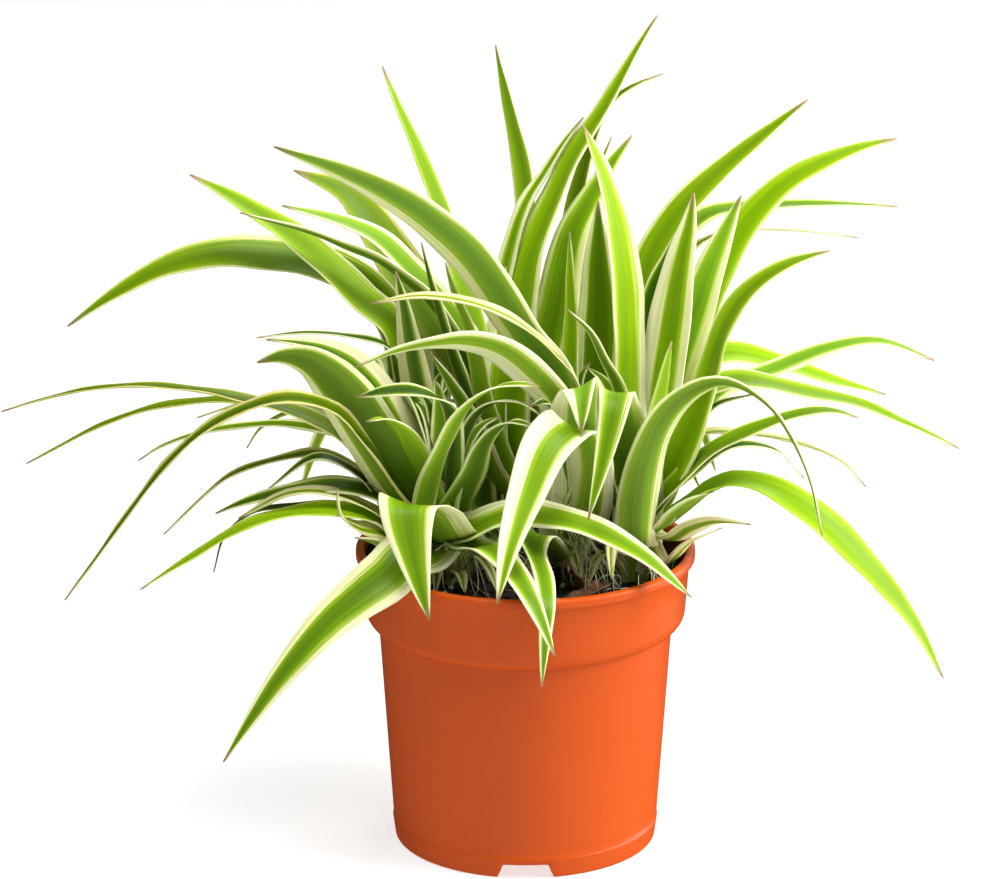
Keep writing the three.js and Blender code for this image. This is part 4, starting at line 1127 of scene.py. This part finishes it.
# What lies and curls low between the stems.
undergrowth = {
    "strands": {"left": 20, "centre": 24, "right": 16, "leftBack": 5, "back": 6, "rightBack": 6},
    "headings": (185, 355),
    "strandReach": (9, 24),
    "strandRise": (4, 17),
    "strandSway": (3, 2),
    "strandWidth": 0.6,
    "combed": 16,  # long ones between the centre and right crowns
    "combedFrom": ((6, 15), (-6, 0), (112, 132)),
    "combedTo": ((20, 34), (-24, -10)),
    # crown, heading in degrees, reach, rise
    "curls": (("left", 236, 13, 9), ("left", 262, 17, 13), ("left", 287, 14, 8), ("left", 312, 18, 12),
              ("left", 338, 14, 15), ("centre", 240, 15, 14), ("centre", 282, 18, 9),
              ("right", 218, 14, 12)),
    "curlWidth": 5.5,
    "rimRoom": 3.5,
    "lift": 0.4,
    "line": ((0, -0.1), (0.16, 0.62), (0.42, 1), (0.75, 0.72), (0.95, 0.2), (1, 0.04)),
}


# An arc from the foot of a crown over to the compost.
def lowPath(crownName, heading, reach, rise):
    crown = crowns[crownName]
    out = Vector((math.cos(heading), math.sin(heading), 0))
    foot = Vector((crown["x"], crown["y"], 0)) + out * crown["radius"] * 0.5
    points = []
    for share, lift in undergrowth["line"]:
        place = foot + out * (crown["radius"] * 0.5 * min(1, share * 4) + reach * share)
        most = soilRimRadius() - undergrowth["rimRoom"]
        if place.length > most:
            place *= most / place.length
        place.z = soilTop(place.x, place.y) + undergrowth["lift"] + rise * lift
        points.append(place)
    return points


# Thin pale edges and threads of old leaves.
def makeStrands(material):
    chance = random.Random("strands")
    shape = bmesh.new()
    lines = []
    swayX, swayY = undergrowth["strandSway"]
    for crownName, count in undergrowth["strands"].items():
        for _ in range(count):
            heading = math.radians(chance.uniform(*undergrowth["headings"]))
            reach = chance.uniform(*undergrowth["strandReach"])
            points = lowPath(crownName, heading, reach, chance.uniform(*undergrowth["strandRise"]))
            sway = Vector((chance.uniform(-swayX, swayX), chance.uniform(-swayY, swayY), 0))
            lines.append([point + sway * math.sin(math.pi * i / 5) for i, point in enumerate(points)])
    for _ in range(undergrowth["combed"]):
        start = Vector([chance.uniform(*span) for span in undergrowth["combedFrom"]])
        x, y = [chance.uniform(*span) for span in undergrowth["combedTo"]]
        end = Vector((x, y, soilTop(x, y) + undergrowth["lift"]))
        middle = start.lerp(end, 0.5) + Vector((chance.uniform(-1, 4), -4, chance.uniform(2, 7)))
        lines.append([start, middle, end])
    for points in lines:
        path = smoothPath(points, 4)[0]
        width = undergrowth["strandWidth"] * chance.uniform(0.6, 1.2)
        addTube(shape, path, [width / 2 * mix(1, 0.3, i / len(path)) for i in range(len(path))])
    addPiece("old_leaf_strands", shape, [material])


# Young leaves that curl over beside the crowns.
def makeCurls(materials):
    chance = random.Random("curls")
    shape = newLeafShape()
    for crownName, heading, reach, rise in undergrowth["curls"]:
        points = lowPath(crownName, math.radians(heading), reach, rise)
        addBlade(shape, points, undergrowth["curlWidth"], "pale", chance)
    thicken(addPiece("young_curled_leaves", shape, materials), blade["thickness"])


# The brown husk of an old leaf base that still stands before the centre crown.
husk = {
    "x": 22,
    "y": -17,
    "height": 11,
    "radius": 4.2,
    "thickness": 0.5,
    "turn": 200,
    "wrap": (80, 50),  # degrees each way, at its foot and top
    "flare": (0.7, 1.25),
    "lean": 2.5,
    "sunk": 1,
    "ragged": 0.3,
}


def makeHusk(material):
    shape = bmesh.new()
    grid = bmesh.ops.create_grid(shape, x_segments=12, y_segments=12, size=1)
    foot = soilTop(husk["x"], husk["y"]) - husk["sunk"]
    for vert in grid["verts"]:
        lane, up = vert.co.x, vert.co.y / 2 + 0.5
        angle = math.radians(husk["turn"] + lane * mix(*husk["wrap"], up))
        radius = husk["radius"] * mix(*husk["flare"], up**2)
        ragged = 1 - husk["ragged"] * abs(math.sin(lane * 4 + 1)) * up
        vert.co = (husk["x"] - husk["lean"] * up + radius * math.cos(angle),
                   husk["y"] + radius * math.sin(angle), foot + husk["height"] * up * ragged)
    thicken(addPiece("old_leaf_husk", shape, [material]), husk["thickness"])


# The floor and the lamps aren't part of the object.
def makeStage():
    shape = bmesh.new()
    bmesh.ops.create_grid(shape, x_segments=1, y_segments=1, size=6000)
    material, tree = newMaterial("paleFloor")
    floor = addNode(tree, "BsdfPrincipled", {
        "Base Color": "#a8a8a8", "Roughness": 0.9, "Emission Color": "#ffffff", "Emission Strength": 0.7})
    piece = addShape("floor", shape, [finishMaterial(material, floor)])
    piece.visible_glossy = False  # it would mirror as a pale haze in the pot


# Places and sizes are in metres, powers in watts. A lamp without glints isn't mirrored in the pot.
lamps = {
    "key": {"place": (1.15, -0.35, 0.95), "size": 0.6, "power": 16},
    "fill": {"place": (-0.6, -1.4, 0.8), "size": 0.9, "power": 1.5, "glints": False},
    "top": {"place": (0, -0.35, 1.5), "size": 0.7, "power": 17},
    "back": {"place": (0.4, 1.0, 1.0), "size": 0.8, "power": 7},
    "side": {"place": (1.4, -0.15, 0.4), "size": 0.5, "power": 8.5},
    "rim": {"place": (1.2, 0.5, 0.1), "size": 0.9, "power": 9},
}


def addLamp(name, place, size, power, glints=True):
    data = bpy.data.lights.new(name, "AREA")
    data.shape = "DISK"
    data.size = size
    data.energy = power
    lamp = addObject(name, data)
    lamp.visible_glossy = glints
    lamp.location = place
    aim = Vector((0, 0, 0.13)) - Vector(place)
    lamp.rotation_euler = aim.to_track_quat("-Z", "Y").to_euler()


def makeLight():
    for name, lamp in lamps.items():
        addLamp(name, **lamp)
    world = bpy.data.worlds.new("studio")
    bpy.context.scene.world = world
    world.use_nodes = True
    tree = world.node_tree
    tree.nodes.clear()
    rays = addNode(tree, "LightPath", {}).outputs
    # white as a backdrop, dim as a light, and dimmer still where it is mirrored
    seen = addNode(tree, "MapRange", {"To Min": 0.2, "To Max": 1, "Value": rays["Is Camera Ray"]})
    mirrored = addNode(tree, "MapRange", {"To Min": 1, "To Max": 0.15, "Value": rays["Is Glossy Ray"]})
    strength = addNode(tree, "Math", {"operation": "MULTIPLY", 0: seen, 1: mirrored})
    sky = addNode(tree, "Background", {"Color": "#ffffff", "Strength": strength})
    addNode(tree, "OutputWorld", {"Surface": sky})
    bpy.context.scene.view_settings.view_transform = "Standard"


makeCamera()
makeStage()
makeLight()
print("camera, floor and light placed")

leafMaterials = [makeLeaf("waxyLeafUpperSide", False), makeLeaf("waxyLeafUnderSide", True)]
for crownName in crowns:
    makeCrown(crownName, leafMaterials)
    print("crown grown:", crownName)

makePot(makePlastic("mouldedPolypropylene", potColours["face"], potColours["shade"]),
        makePlastic("innerWallPaintedShade", potColours["paintedShade"], potColours["paintedShadeDark"]))
print("pot moulded")

dull = {name: makeMottled(name) for name in mottled}
makeSoil(dull["dampPeatCompost"])
for name, values in lumps.items():
    makeLumps(name, **{**values, "material": dull[values["material"]]})
for name, values in fibres.items():
    makeFibres(name, **{**values, "material": dull[values["material"]]})
print("soil filled")

makeDriedLeaf(dull["driedLeafBase"])
makeHusk(dull["driedLeafBase"])
makeStrands(dull["oldLeafEdge"])
makeCurls(leafMaterials)
print("dried leaves, strands and curls laid")
